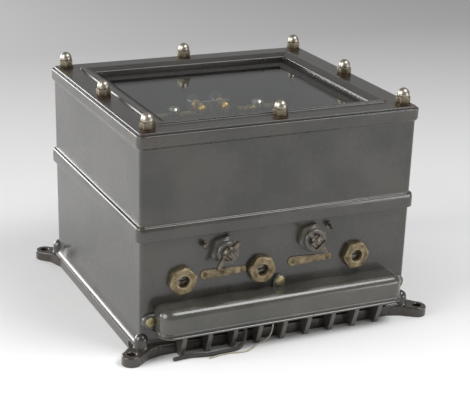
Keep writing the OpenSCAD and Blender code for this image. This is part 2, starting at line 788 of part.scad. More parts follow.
// Solid with the cover's two outlines
module cover_solid(half, depth, z0, z1, r_top, r_plan) {
    intersection() {
        translate([0, z0, 0]) rotate([0, -90, 0])
            linear_extrude(2 * half + 2, center = true) cover_end(depth, z1 - z0, r_top);
        translate([0, z1, 0]) rotate([90, 0, 0])
            linear_extrude(z1 - z0) cover_plan(half, depth, r_plan);
    }
}

module terminal_cover() {
    color(paint_grey) at_front(0, 0) difference() {
        union() {
            cover_solid(cover_half, cover_depth, cover_z0, cover_z1, 9, 12);
            translate([0, cover_z0 + 2.2, 0]) rotate([90, 0, 0])
                linear_extrude(2.2) cover_plan(cover_half + 1.6, cover_depth + 1.6, 13);
            translate([0, cover_z0 + 5.4, 0]) rotate([90, 0, 0])
                linear_extrude(1.6) cover_plan(cover_half + 1, cover_depth + 1, 12.5);
            for (p = cover_screw_at) translate([p[0], p[1], 0])
                cylinder(r = cover_ear_r, h = cover_ear_t);
            translate([-cover_ear_r, cover_z1 - 4, 0])
                cube([2 * cover_ear_r, cover_top_ear_z - cover_z1 + 4, cover_ear_t]);
        }
        translate([0, 0, -1]) cover_solid(cover_half - cover_t, cover_depth - cover_t + 1,
            cover_z0 - 1, cover_z1 - cover_t, 7, 10);
        for (p = cover_screw_at) translate([p[0], p[1], -1]) cylinder(r = 2 + fit, h = 6);
    }
}

module cover_screws() {
    color(bright_brass) for (p = cover_screw_at) at_front(p[0], p[1])
        translate([0, 0, cover_ear_t]) rotate([0, 0, 35 + p[0]])
            round_screw(2, cover_ear_t + 4, 4.2, 2.8);
}

// Strip between the terminal block and the wall
module terminal_gasket() {
    color(rubber_black) at_front(0, 0) difference() {
        translate([-cover_half + 14, block_z0, 0]) cube([2 * cover_half - 28, block_z1 - block_z0, 1]);
        for (x = terminal_at) translate([x, terminal_z, -1]) cylinder(r = terminal_r + fit, h = 4);
    }
}

module terminal_block() {
    color([0.12, 0.10, 0.09]) at_front(0, 0) difference() {
        translate([-cover_half + 14, block_z0, 1])
            cube([2 * cover_half - 28, block_z1 - block_z0, block_t - 1]);
        for (x = terminal_at) translate([x, terminal_z, -1])
            cylinder(r = terminal_r + fit, h = block_t + 4);
    }
}

module terminal_studs() {
    color(bright_brass) for (x = terminal_at) at_front(x, terminal_z)
        translate([0, 0, -wall_t - 9]) cylinder(r = terminal_r, h = wall_t + 9 + block_t + 8);
}

module terminal_nuts() {
    color(bright_brass) for (x = terminal_at) at_front(x, terminal_z)
        translate([0, 0, block_t]) difference() {
            hex_prism(terminal_af, 3.5, 0.6);
            translate([0, 0, -1]) cylinder(r = terminal_r + fit, h = 6);
        }
}

// Wires from the terminals to tags under the deck
module internal_wiring() {
    back = wall_t + 9;
    color([0.45, 0.12, 0.08]) for (x = terminal_at) {
        at_front(x, terminal_z) translate([0, 0, -back - 18]) cylinder(r = 1, h = 18);
        translate([x, -half_d + back + 18, terminal_z]) {
            sphere(1);
            cylinder(r = 1, h = deck_z0 - terminal_z);
        }
    }
}

// ---------- deck and adjusters ----------

module deck() {
    color(bright_brass) difference() {
        block(deck_half_w, deck_half_d, 6, deck_z0, deck_z1);
        for (i = [-1, 1], j = [-1, 1]) translate([i * pillar_x, j * pillar_y, deck_z0 - 1])
            cylinder(d = screw_d + 2 * fit, h = deck_t + 2);
        for (x = clamp_x) translate([x, 0, deck_z0 - 1])
            cylinder(r = adjust_r + run, h = deck_t + 2);
    }
}

module deck_pillars() {
    color(steel_grey) for (i = [-1, 1], j = [-1, 1])
        translate([i * pillar_x, j * pillar_y, floor_t + 4]) difference() {
            cylinder(r = pillar_r, h = deck_z0 - floor_t - 4);
            translate([0, 0, deck_z0 - floor_t - 4 - 10])
                cylinder(d = screw_d + 2 * fit, h = 11);
        }
}

// Rail on two feet that carries the back ends of the adjusting screws and rods
module rear_rail() {
    rail_half = max(abs(port_x[0]), abs(port_x[2])) + 12;
    color(paint_grey) difference() {
        union() {
            translate([-rail_half, rail_y, carriage_z0]) cube([2 * rail_half, rail_t, 31]);
            for (s = [-1, 1]) translate([s * (rail_half - 6) - 6, rail_y, floor_t])
                cube([12, rail_t, carriage_z0 - floor_t + 1]);
        }
        for (x = port_x) {
            translate([x, rail_y + rail_t + 1, port_z]) rotate([90, 0, 0])
                cylinder(r = adjust_r + run, h = rail_t + 2);
            translate([x, rail_y + rail_t + 1, port_z - rod_drop]) rotate([90, 0, 0])
                cylinder(r = rod_r + fit, h = rail_t + 2);
        }
    }
}

module guide_rods() {
    color(steel_grey) for (x = port_x) translate([x, rail_y + rail_t, port_z - rod_drop])
        rotate([90, 0, 0]) cylinder(r = rod_r, h = rail_y + rail_t + in_d + 3);
}

// Adjusting screw with a slotted head at the bottom of its port
module adjuster(x) {
    color(steel_grey) at_front(x, port_z) difference() {
        union() {
            translate([0, 0, port_floor + play]) cylinder(r = head_r, h = head_h);
            translate([0, 0, -half_d - rail_y - rail_t + 1])
                cylinder(r = adjust_r, h = half_d + rail_y + rail_t + port_floor);
            translate([0, 0, -barrel_in - play - 4]) cylinder(r = 5, h = 4);
        }
        translate([-head_r, -0.8, port_floor + play + head_h - 1.8]) cube([2 * head_r, 1.6, 3]);
    }
}

module adjuster_left() { adjuster(port_x[0]); }
module adjuster_centre() { adjuster(port_x[1]); }
module adjuster_right() { adjuster(port_x[2]); }

// Block driven along by the adjusting screw, with a slot for the torsion arm's pin
module carriage_block(x) {
    difference() {
        translate([x - carriage_half, -carriage_half_d, carriage_z0])
            cube([2 * carriage_half, 2 * carriage_half_d, carriage_z1 - carriage_z0]);
        translate([x, carriage_half_d + 1, port_z]) rotate([90, 0, 0])
            cylinder(r = adjust_r + run, h = 2 * carriage_half_d + 2);
        translate([x, carriage_half_d + 1, port_z - rod_drop]) rotate([90, 0, 0])
            cylinder(r = rod_r + run, h = 2 * carriage_half_d + 2);
        translate([x - carriage_half - 1, -arm_pin_r - 0.1, carriage_z1 - 5.5])
            cube([2 * carriage_half + 2, 2 * arm_pin_r + 0.2, 7]);
    }
}

module carriage_left() { color(bright_brass) carriage_block(port_x[0]); }
module carriage_right() { color(bright_brass) carriage_block(port_x[2]); }

// The middle carriage carries a bar magnet that trims both movements together
module carriage_centre() {
    color(bright_brass) union() {
        carriage_block(port_x[1]);
        translate([port_x[1] - 25, -4, carriage_z1 - 0.1]) cube([50, 8, 8]);
    }
}

// Arm that turns the lower end of a movement's suspension
module torsion_arm(x, px) {
    arm_l = abs(px - x);
    color(bright_brass) translate([x, 0, 0]) {
        translate([0, 0, arm_z0 - 3]) cylinder(r = adjust_r, h = deck_z1 + 5 - arm_z0 + 3);
        translate([0, 0, arm_z0 - 0.5]) cylinder(r = 7, h = arm_t + 4);
        translate([0, 0, deck_z1 + play]) cylinder(r = 5, h = 3);
        rotate([0, 0, px < x ? 180 : 0]) {
            translate([0, -4, arm_z0]) cube([arm_l, 8, arm_t]);
            translate([arm_l, 0, arm_z0]) cylinder(r = 4, h = arm_t);
            translate([arm_l, 0, arm_z0 - 5.5]) cylinder(r = arm_pin_r, h = 6);
        }
    }
}

module torsion_arm_left() { torsion_arm(clamp_x[0], port_x[0]); }
module torsion_arm_right() { torsion_arm(clamp_x[1], port_x[2]); }

// ---------- clamp lifters ----------

// Sliding plate with a slot for the crank pin, and an arm that ends in a ring
// round the movement's lower staff
module clamp_lifter(x, s) {
    plate_y = -half_d - lifter_z0 - lifter_t;
    slot_z = clamp_z - pin_rise;
    slot_x = s * crank_e * (1 + cos(clamp_swing / 2)) / 2;
    color(steel_grey) translate([x, 0, 0]) difference() {
        union() {
            translate([-lifter_half, plate_y, clamp_z - 15])
                cube([2 * lifter_half, lifter_t, lifter_arm_z0 + lifter_arm_t - clamp_z + 15]);
            translate([-3, plate_y + 1, lifter_arm_z0]) cube([6, -plate_y - 6, lifter_arm_t]);
            translate([0, 0, lifter_arm_z0]) cylinder(r = 7, h = lifter_arm_t);
        }
        translate([0, 0, lifter_arm_z0 - 1]) cylinder(r = 3.5, h = lifter_arm_t + 2);
        translate([slot_x - 3.5, plate_y - 1, slot_z - crank_pin_r - 0.25])
            cube([7, lifter_t + 2, 2 * crank_pin_r + 0.5]);
    }
}

module clamp_lifter_left() { clamp_lifter(clamp_x[0], 1); }
module clamp_lifter_right() { clamp_lifter(clamp_x[1], -1); }

// Guide blocks on the deck's front edge, which the lifters slide through
module lifter_guides() {
    plate_y = -half_d - lifter_z0 - lifter_t;
    color(bright_brass) for (x = clamp_x) difference() {
        translate([x - lifter_half - 5, plate_y - guide_wall, deck_z1 - 22])
            cube([2 * lifter_half + 10, -deck_half_d - plate_y + guide_wall, 22]);
        translate([x - lifter_half - run, plate_y - run, deck_z1 - 23])
            cube([2 * lifter_half + 2 * run, lifter_t + 2 * run, 24]);
    }
}

// ---------- movements ----------

module magnets() {
    color([0.35, 0.12, 0.10]) for (x = clamp_x) translate([x, 0, deck_z1]) difference() {
        union() {
            translate([-magnet_half, -magnet_half_d, 0])
                cube([2 * magnet_half, 2 * magnet_half_d, magnet_base_h]);
            for (s = [0, 1]) mirror([s, 0, 0]) translate([magnet_half - limb_t, -magnet_half_d, 0])
                cube([limb_t, 2 * magnet_half_d, limb_z1 - deck_z1]);
        }
        translate([0, 0, -1]) cylinder(r = 8, h = magnet_base_h + 2);
    }
}

module pole_pieces() {
    color(steel_grey) for (x = clamp_x, s = [0, 1]) translate([x, 0, 0]) mirror([s, 0, 0])
        difference() {
            translate([core_r, -9, pole_z0])
                cube([magnet_half - limb_t - core_r, 18, pole_z1 - pole_z0]);
            translate([0, 0, pole_z0 - 1]) cylinder(r = pole_r, h = pole_z1 - pole_z0 + 2);
        }
}

// Iron cores, each on a bracket across the back of its magnet
module cores() {
    mid_z = (core_z0 + core_z1) / 2;
    color(steel_grey) for (x = clamp_x) translate([x, 0, 0]) {
        translate([0, 0, core_z0]) cylinder(r = core_r, h = core_z1 - core_z0);
        translate([-2, core_r - 1, mid_z - 2]) cube([4, magnet_half_d - core_r + 2, 4]);
        translate([-magnet_half, magnet_half_d, mid_z - 4]) cube([2 * magnet_half, 3, 8]);
    }
}

module suspension_bridges() {
    color(bright_brass) for (x = clamp_x) translate([x, 0, 0]) difference() {
        union() {
            translate([-magnet_half, -5, bridge_z0]) cube([2 * magnet_half, 10, bridge_t]);
            for (s = [0, 1]) mirror([s, 0, 0]) translate([magnet_half - limb_t, -5, limb_z1])
                cube([limb_t, 10, bridge_z0 - limb_z1 + 1]);
        }
        translate([0, 0, bridge_z0 - 1]) cylinder(r = 2 + fit, h = bridge_t + 2);
    }
}

module torsion_heads() {
    color(steel_grey) for (x = clamp_x) translate([x, 0, 0]) difference() {
        union() {
            translate([0, 0, bridge_z0]) cylinder(r = 2, h = bridge_t + 1);
            translate([0, 0, bridge_z0 + bridge_t]) cylinder(r = 6.5, h = 5);
            translate([0, 0, bridge_z0 + bridge_t + 4.9]) cylinder(r1 = 6.5, r2 = 4.5, h = 2.2);
        }
        translate([-7, -0.7, bridge_z0 + bridge_t + 5.6]) cube([14, 1.4, 3]);
    }
}

// Coil on its former, with the staffs above and below it
module coil(x) {
    color(copper) translate([x, 0, 0]) {
        difference() {
            translate([-coil_out, -coil_half_t, coil_z0])
                cube([2 * coil_out, 2 * coil_half_t, coil_z1 - coil_z0]);
            translate([-coil_out + coil_bar, -coil_half_t - 1, coil_z0 + coil_bar])
                cube([2 * (coil_out - coil_bar), 2 * coil_half_t + 2,
                    coil_z1 - coil_z0 - 2 * coil_bar]);
        }
        translate([0, 0, coil_z1 - 0.5]) cylinder(r = 1, h = bridge_z0 - coil_z1);
        translate([0, 0, deck_z1 + 5.3]) cylinder(r = 0.8, h = coil_z0 - deck_z1 - 5);
    }
}

module coil_left() { coil(clamp_x[0]); }
module coil_right() { coil(clamp_x[1]); }

module mirror_disc(x) {
    color([0.8, 0.85, 0.88]) translate([x, -1, (coil_z1 + bridge_z0) / 2])
        rotate([90, 0, 0]) cylinder(r = 3, h = 1.2);
}

module mirror_left() { mirror_disc(clamp_x[0]); }
module mirror_right() { mirror_disc(clamp_x[1]); }

// ---------- lamps ----------

module lamp_bracket() {
    x0 = lamp_x[0] - lamp_cap_r;
    x1 = lamp_x[1] + lamp_cap_r;
    mid = (x0 + x1) / 2;
    color(bright_brass) difference() {
        union() {
            translate([x0, -1.5, lamp_z - 7.5]) cube([x1 - x0, 3, 14]);
            translate([mid - 5, -1.5, deck_z1]) cube([10, 3, lamp_up - 7]);
            translate([mid - 8, -8, deck_z1]) cube([16, 16, 3]);
        }
        for (x = lamp_x) translate([x, 3, lamp_z]) rotate([90, 0, 0])
            cylinder(r = lamp_cap_r - 1 + fit, h = 6);
    }
}

// Screw caps of the lamps, each with its contact at the front
module lamp_caps() {
    color(bright_brass) for (x = lamp_x) translate([x, 0, lamp_z]) rotate([90, 0, 0]) {
        translate([0, 0, -12]) cylinder(r = lamp_cap_r, h = 10.5);
        translate([0, 0, -2]) cylinder(r = lamp_cap_r - 1, h = 8);
        translate([0, 0, 5.9]) cylinder(r1 = lamp_cap_r - 1.5, r2 = 2, h = 2.5);
    }
}

module lamp_bulbs() {
    color([0.9, 0.9, 0.85, 0.4]) for (x = lamp_x) translate([x, 12, lamp_z])
        rotate([-90, 0, 0]) union() {
            cylinder(r = lamp_cap_r - 0.5, h = 6);
            translate([0, 0, bulb_d / 2 + 2]) sphere(d = bulb_d);
        }
}

module loose_wire() { color([0.7, 0.68, 0.62]) tube(wire_route, wire_r); }
module loose_lead() { color([0.2, 0.19, 0.18]) tube(lead_route, lead_r); }

lower_case();
upper_case();
case_gasket();
fixing_screws();
window_gasket();
window_studs();
port_bushes();
front_locknuts();
clamp_glands();
label_plates();
label_plate_screws();
seal_pegs();
cable_ribs();
terminal_gasket();
terminal_block();
terminal_studs();
terminal_nuts();
deck();
deck_pillars();
rear_rail();
guide_rods();
lifter_guides();
magnets();
pole_pieces();
cores();
suspension_bridges();
torsion_heads();
lamp_bracket();
lamp_caps();
lamp_bulbs();
internal_wiring();
loose_wire();
loose_lead();
window_frame();
window_glass();
glass_seals();
glass_retainer();
retainer_screws();
stud_washers();
acorn_nuts();
terminal_cover();
cover_screws();
clamp_handle_left();
clamp_handle_right();
clamp_spindle_left();
clamp_spindle_right();
clamp_lifter_left();
clamp_lifter_right();
adjuster_left();
adjuster_centre();
adjuster_right();
carriage_left();
carriage_centre();
carriage_right();
torsion_arm_left();
torsion_arm_right();
coil_left();
coil_right();
mirror_left();
mirror_right();
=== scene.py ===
"""Looks of the galvanometer: a two-part cast case with a glazed, studded top.

Everything is in metres in the part's own frame: +Z up, the front faces -Y, and the
origin is the centre of the four mounting holes on the underside.
"""
import json
import math
from functools import partial

import bmesh
import bpy
import numpy as np
from mathutils import Matrix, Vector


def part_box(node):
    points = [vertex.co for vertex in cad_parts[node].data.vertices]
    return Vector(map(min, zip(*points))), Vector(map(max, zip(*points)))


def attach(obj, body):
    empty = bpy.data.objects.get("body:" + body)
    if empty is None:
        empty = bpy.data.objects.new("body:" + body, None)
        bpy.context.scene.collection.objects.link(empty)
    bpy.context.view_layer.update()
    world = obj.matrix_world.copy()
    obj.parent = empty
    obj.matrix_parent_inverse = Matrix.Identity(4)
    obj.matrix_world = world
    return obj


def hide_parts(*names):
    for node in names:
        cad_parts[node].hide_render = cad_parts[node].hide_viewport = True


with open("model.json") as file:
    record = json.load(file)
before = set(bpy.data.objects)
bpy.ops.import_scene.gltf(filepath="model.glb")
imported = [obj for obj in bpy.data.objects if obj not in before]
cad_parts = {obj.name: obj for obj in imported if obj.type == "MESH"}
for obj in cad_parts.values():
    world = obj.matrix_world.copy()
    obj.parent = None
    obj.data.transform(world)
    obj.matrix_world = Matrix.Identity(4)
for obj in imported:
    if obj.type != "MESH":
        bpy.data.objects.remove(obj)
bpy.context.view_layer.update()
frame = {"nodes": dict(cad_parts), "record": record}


# ---------------------------------------------------------------------------
# Camera. It looks down on the front left corner from about a metre and a half away.
# Its shift slides the view and leaves its direction alone.

CAMERA_AT = np.array([-0.5593, -1.2204, 0.5875])
CAMERA_RIGHT = np.array([0.90987, -0.41395, 0.02828])
CAMERA_UP = np.array([0.14073, 0.37202, 0.91751])
LENS_MM, SENSOR_MM = 99.6, 36.0
SHIFT = (0.0011, 0.1676)
NEAREST, FARTHEST = 0.05, 50.0


def in_scene(item):
    """Puts an object into the scene and returns it."""
    bpy.context.scene.collection.objects.link(item)
    return item


def placed(at, right, up, back):
    """Matrix that puts an object at a point with its axes along three unit vectors."""
    turn = Matrix(np.column_stack([right, up, back]).tolist()).to_4x4()
    return Matrix.Translation(np.asarray(at).tolist()) @ turn


def add_camera():
    """Camera whose axes are the given right and up vectors and their cross product."""
    right = CAMERA_RIGHT / np.linalg.norm(CAMERA_RIGHT)
    up = CAMERA_UP - right * (CAMERA_UP @ right)
    up /= np.linalg.norm(up)
    data = bpy.data.cameras.new("camera")
    data.sensor_width = SENSOR_MM
    data.lens = LENS_MM
    data.shift_x, data.shift_y = SHIFT
    data.clip_start, data.clip_end = NEAREST, FARTHEST
    camera = in_scene(bpy.data.objects.new("camera", data))
    camera.matrix_world = placed(CAMERA_AT, right, up, np.cross(right, up))
    bpy.context.scene.camera = camera


add_camera()


# ---------------------------------------------------------------------------
# Loose wires. Two cut tails hang out of the cable ways under the front and lie on
# the bench: a thin tinned wire in pale cotton, and a thicker lead with a dark
# braided cover.

MM = 0.001
MERGE = 2e-6
BODY_OF = {node: body for body, nodes in frame["record"]["behaviour"]["bodies"].items()
           for node in nodes}


def linear(hex_colour):
    """Linear RGB of an sRGB hex value such as '5c5b58', with an alpha of 1."""
    parts = np.array([int(hex_colour[i:i + 2], 16) for i in (0, 2, 4)]) / 255.0
    low = parts / 12.92
    high = ((parts + 0.055) / 1.055) ** 2.4
    return (*np.where(parts <= 0.04045, low, high).tolist(), 1.0)


def add_node(material, kind, **settings):
    """Adds a node of a kind such as TexNoise. Names in small letters set its properties;
    stops gives a ramp its places, each with an sRGB hex colour or a grey level. The others
    set its inputs, or link them to a socket or a node's first output, by name or, as i0 or
    i1, by place."""
    tree = material.node_tree
    node = tree.nodes.new("ShaderNode" + kind)
    for key, value in settings.items():
        if key == "stops":
            elements = node.color_ramp.elements
            elements.remove(elements[1])
            for i, (place, colour) in enumerate(value):
                element = elements[0] if i == 0 else elements.new(place)
                element.position = place
                element.color = linear(colour) if isinstance(colour, str) else (*[colour] * 3, 1.0)
            continue
        by_place = key[0] == "i" and key[1:].isdigit()
        if key[0].islower() and not by_place:
            setattr(node, key, value)
            continue
        socket = node.inputs[int(key[1:]) if by_place else key.replace("_", " ")]
        if isinstance(value, bpy.types.Node):
            value = value.outputs[0]
        if isinstance(value, bpy.types.NodeSocket):
            tree.links.new(value, socket)
        else:
            socket.default_value = value
    return node


def new_material(name):
    """Empty material, the function that adds its nodes, and its Object coordinates."""
    material = bpy.data.materials.new(name)
    material.use_nodes = True
    material.node_tree.nodes.clear()
    add = partial(add_node, material)
    return material, add, add("TexCoord").outputs["Object"]


def dressed(material, height, strength, lift, **shader):
    """Ends a material with a Principled shader whose inputs are given, and lets a height
    raise bumps of up to lift metres. Returns the material."""
    add = partial(add_node, material)
    bump = add("Bump", Height=height, Strength=strength, Distance=lift)
    add("OutputMaterial", Surface=add("BsdfPrincipled", Normal=bump, **shader))
    return material


def mesh_object(name, surface, material, smooth_below=0.7):
    """Object at the origin from a surface of points in metres and faces. Edges that turn by
    more than smooth_below radians stay crisp; doubles are merged, faces turned outwards."""
    points, faces = surface
    mesh = bpy.data.meshes.new(name)
    mesh.from_pydata(np.asarray(points, float).tolist(), [], faces)
    work = bmesh.new()
    work.from_mesh(mesh)
    bmesh.ops.remove_doubles(work, verts=work.verts, dist=MERGE)
    bmesh.ops.recalc_face_normals(work, faces=work.faces)
    for face in work.faces:
        face.smooth = True
    for edge in work.edges:
        if len(edge.link_faces) == 2 and edge.calc_face_angle(0.0) > smooth_below:
            edge.smooth = False
    work.to_mesh(mesh)
    work.free()
    mesh.materials.append(material)
    return in_scene(bpy.data.objects.new(name, mesh))


def stands_for(item, node):
    """Lets a piece stand for a CAD node: attaches it to the node's body and hides the node."""
    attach(item, BODY_OF[node])
    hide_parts(node)
    return item


def vertices_of(item):
    """Places of the item's vertices, one row each."""
    place = np.zeros(len(item.data.vertices) * 3)
    item.data.vertices.foreach_get("co", place)
    return place.reshape(-1, 3)


def grid_faces(rows, columns, close_rows=False, close_columns=True, start=0):
    """Quads of a grid of rows x columns points, closed round either way if asked."""
    r = np.arange(rows if close_rows else rows - 1)
    c = np.arange(columns if close_columns else columns - 1)
    r, c = np.meshgrid(r, c, indexing="ij")
    r2, c2 = (r + 1) % rows, (c + 1) % columns
    quads = np.stack([r * columns + c, r * columns + c2, r2 * columns + c2, r2 * columns + c], -1)
    return (quads.reshape(-1, 4) + start).tolist()


def along_route(route, radius, sides, twist=0.0, wave=0.0, strands=0):
    """Tube round a route: ring i lies in the plane across the route at its point i, and
    its radius swells strands times round by wave, turning by twist per metre."""
    route = np.asarray(route, float)
    ahead = np.gradient(route, axis=0)
    ahead /= np.linalg.norm(ahead, axis=1, keepdims=True)
    side = np.cross(ahead, [0.0, 0.0, 1.0])
    steep = np.linalg.norm(side, axis=1) < 0.3
    side[steep] = np.cross(ahead[steep], [0.0, 1.0, 0.0])
    for i in range(1, len(side)):
        side[i] = side[i - 1] - (side[i - 1] @ ahead[i]) * ahead[i]
        side[i] /= np.linalg.norm(side[i])
    side[0] /= np.linalg.norm(side[0])
    up = np.cross(ahead, side)
    run = np.r_[0.0, np.cumsum(np.linalg.norm(np.diff(route, axis=0), axis=1))]
    angle = np.linspace(0, 2 * np.pi, sides, endpoint=False)
    swell = 1 + wave * np.cos(strands * (angle[None, :] + twist * run[:, None])) if strands else 1.0
    around = radius * swell * np.ones((len(route), sides))
    points = (route[:, None] + around[..., None] * (np.cos(angle)[None, :, None] * side[:, None]
              + np.sin(angle)[None, :, None] * up[:, None]))
    return points, run


def smooth_route(points, count):
    """Catmull-Rom curve through the given points, at count even steps of its length."""
    p = np.asarray(points, float)
    p = np.vstack([2 * p[0] - p[1], p, 2 * p[-1] - p[-2]])
    t = np.linspace(0, 1, 24, endpoint=False)[None, :, None]
    a, b, c, d = (p[i:len(p) - 3 + i][:, None, :] for i in range(4))
    curve = 0.5 * (2 * b + (c - a) * t + (2 * a - 5 * b + 4 * c - d) * t ** 2
                   + (3 * b - a - 3 * c + d) * t ** 3)
    curve = np.vstack([curve.reshape(-1, 3), p[-2]])
    run = np.r_[0.0, np.cumsum(np.linalg.norm(np.diff(curve, axis=0), axis=1))]
    even = np.linspace(0, run[-1], count)
    return np.column_stack([np.interp(even, run, curve[:, k]) for k in range(3)]), run[-1]


def braided_cover(name, light, dark, pitch_mm):
    """Cotton or rayon braid: slanting threads, matt, with soiled hollows. The threads are
    drawn three pitches wide, because real ones are too fine to show."""
    material, add, _ = new_material(name)
    along = add("UVMap", uv_map="along")
    scale = 1.0 / (pitch_mm * MM)
    thread = add("TexWave", bands_direction="DIAGONAL", Vector=along, Scale=scale * 0.35,
                 Distortion=0.4).outputs["Fac"]
    soil = add("TexNoise", Vector=along, Scale=scale * 0.1, Detail=4.0)
    both = add("Math", operation="MULTIPLY_ADD", i0=thread, i1=0.6, i2=soil)
    tone = add("ValToRGB", stops=((0.35, dark), (0.95, light)), Fac=both)
    return dressed(material, thread, 0.5, 0.2 * MM, Base_Color=tone, Roughness=0.85)


def loose_tail(name, node, route_mm, radius_mm, material, strands, wave):
    """Cut tail of wire along its route, with closed round ends. Its UV map runs along the route
    and round it, both in metres."""
    rows, sides, lay_length = 150, 24, 12 * MM
    route, length = smooth_route(np.array(route_mm) * MM, rows)
    radius = radius_mm * MM
    tube, run = along_route(route, radius, sides, 2 * np.pi / lay_length, wave, strands)
    first, last = rows * sides, rows * sides + 1
    faces = grid_faces(rows, sides)
    faces += [[first, (c + 1) % sides, c] for c in range(sides)]
    faces += [[last, (rows - 1) * sides + c, (rows - 1) * sides + (c + 1) % sides]
              for c in range(sides)]
    points = np.vstack([tube.reshape(-1, 3), route[:1], route[-1:]])
    item = stands_for(mesh_object(name, (points, faces), material), node)
    place = vertices_of(item)
    near = np.argmin(((place[:, None] - route[None]) ** 2).sum(-1), axis=1)
    turn = np.arctan2(place[:, 2] - route[near, 2], place[:, 1] - route[near, 1])
    corners = np.zeros(len(item.data.loops), np.int64)
    item.data.loops.foreach_get("vertex_index", corners)
    uv = np.column_stack([run[near], turn * radius])[corners]
    item.data.uv_layers.new(name="along").data.foreach_set("uv", uv.ravel())


WIRE_ROUTE = [[-12, -151, 31], [-12, -151, 24], [-12, -151, 17], [-13, -150.5, 11],
              [-15, -150, 6], [-18.5, -149.5, 2.5], [-23, -150, 1], [-28, -152, 0.9],
              [-33, -155, 0.9], [-37.5, -158.5, 0.9], [-42, -161.5, 0.9], [-47.5, -163.5, 0.9],
              [-53, -163.5, 0.9], [-58.5, -162.5, 0.9], [-64, -161.5, 0.9], [-70, -161.5, 0.9],
              [-76, -162, 0.9], [-82, -163, 0.9], [-88, -164.5, 0.9]]
LEAD_ROUTE = [[-43, -150, 31], [-43, -150, 25], [-43, -150.5, 19], [-43.5, -151.5, 13.5],
              [-45, -153, 8.5], [-48.5, -155, 4.5], [-54, -156.5, 2.4], [-60.5, -157.5, 2.1],
              [-67, -158, 2.1], [-74, -158.5, 2.1], [-81, -159, 2.1], [-88, -158.5, 2.1],
              [-95, -157, 2.1], [-102, -155.5, 2.1], [-109, -155, 2.1], [-116, -155.5, 2.1],
              [-123, -156.5, 2.1]]
loose_tail("loose_wire_tail", "loose_wire", WIRE_ROUTE, 0.8,
           braided_cover("pale_cotton_braid", "b9b3a4", "6f685b", 0.8), 3, 0.03)
loose_tail("loose_lead_tail", "loose_lead", LEAD_ROUTE, 2.0,
           braided_cover("dark_rayon_braid", "4a4743", "1c1a18", 1.0), 4, 0.02)


# ---------------------------------------------------------------------------
# Bench and light. The case stands on matt white paper, painted greyer with distance as
# painted shade for the light falling off. Large soft lamps stand at the left and low behind
# it, a smaller one hangs overhead, and a weak one fills in from the front right.

FLOOR_HALF = 6.0
LAMPS = (("lamp_left", (-2.0, -0.1, 1.1), (0, 0, 0.12), (1.6, 1.6), 42),
         ("lamp_low", (-1.2, 1.9, 0.42), (0, 0, 0.10), (1.8, 0.8), 36),
         ("lamp_over", (0.75, -0.75, 1.75), (0, 0, 0.15), (1.1, 0.8), 21),
         ("lamp_front", (1.7, -1.8, 0.35), (0, 0, 0.08), (1.3, 0.5), 14))
ROOM_COLOUR, ROOM_LEVEL = "e8e8e8", 0.40


def add_floor():
    """Flat paper sheet, white near the object and painted light grey further back: painted shade
    for the light falling off with distance.
    """
    mesh = bpy.data.meshes.new("floor")
    mesh.from_pydata([(x * FLOOR_HALF, y * FLOOR_HALF, 0)
                      for x, y in ((-1, -1), (1, -1), (1, 1), (-1, 1))], [], [(0, 1, 2, 3)])
    material, add, place = new_material("floor_paper")
    apart = add("SeparateXYZ", Vector=place)
    back = add("MapRange", i0=apart.outputs["Y"], From_Min=-0.30, From_Max=1.10)
    # Painted shade: the paper's colour greys towards the back.
    tone = add("ValToRGB", stops=((0.0, "fbfbfb"), (0.45, "dcdcdc"), (1.0, "bababa")), Fac=back)
    add("OutputMaterial", Surface=add("BsdfPrincipled", Base_Color=tone, Roughness=0.9,
                                      Specular_IOR_Level=0.1))
    mesh.materials.append(material)
    in_scene(bpy.data.objects.new("floor", mesh))


def add_area_light(name, at, aim, size, power):
    """White rectangular lamp at a point, aimed at another: its beam leaves along its -Z."""
    data = bpy.data.lights.new(name, "AREA")
    data.shape = "RECTANGLE"
    data.size, data.size_y = size
    data.energy = power
    back = np.array(at, float) - np.array(aim, float)
    back /= np.linalg.norm(back)
    right = np.cross([0, 0, 1.0], back)
    right /= np.linalg.norm(right)
    lamp = in_scene(bpy.data.objects.new(name, data))
    lamp.matrix_world = placed(at, right, np.cross(back, right), back)


def add_world():
    """Even light from all round, as from the walls of a pale room."""
    world = bpy.data.worlds.new("studio")
    world.use_nodes = True
    background = world.node_tree.nodes["Background"]
    background.inputs[0].default_value = linear(ROOM_COLOUR)
    background.inputs[1].default_value = ROOM_LEVEL
    bpy.context.scene.world = world


add_floor()
for lamp in LAMPS:
    add_area_light(*lamp)
add_world()
bpy.context.scene.view_settings.view_transform = "Standard"


# ---------------------------------------------------------------------------
# Lower case. A grey-iron casting with a plinth, a cove and four lugs, brush-painted
# in dark grey oil enamel that has worn pale along its edges.


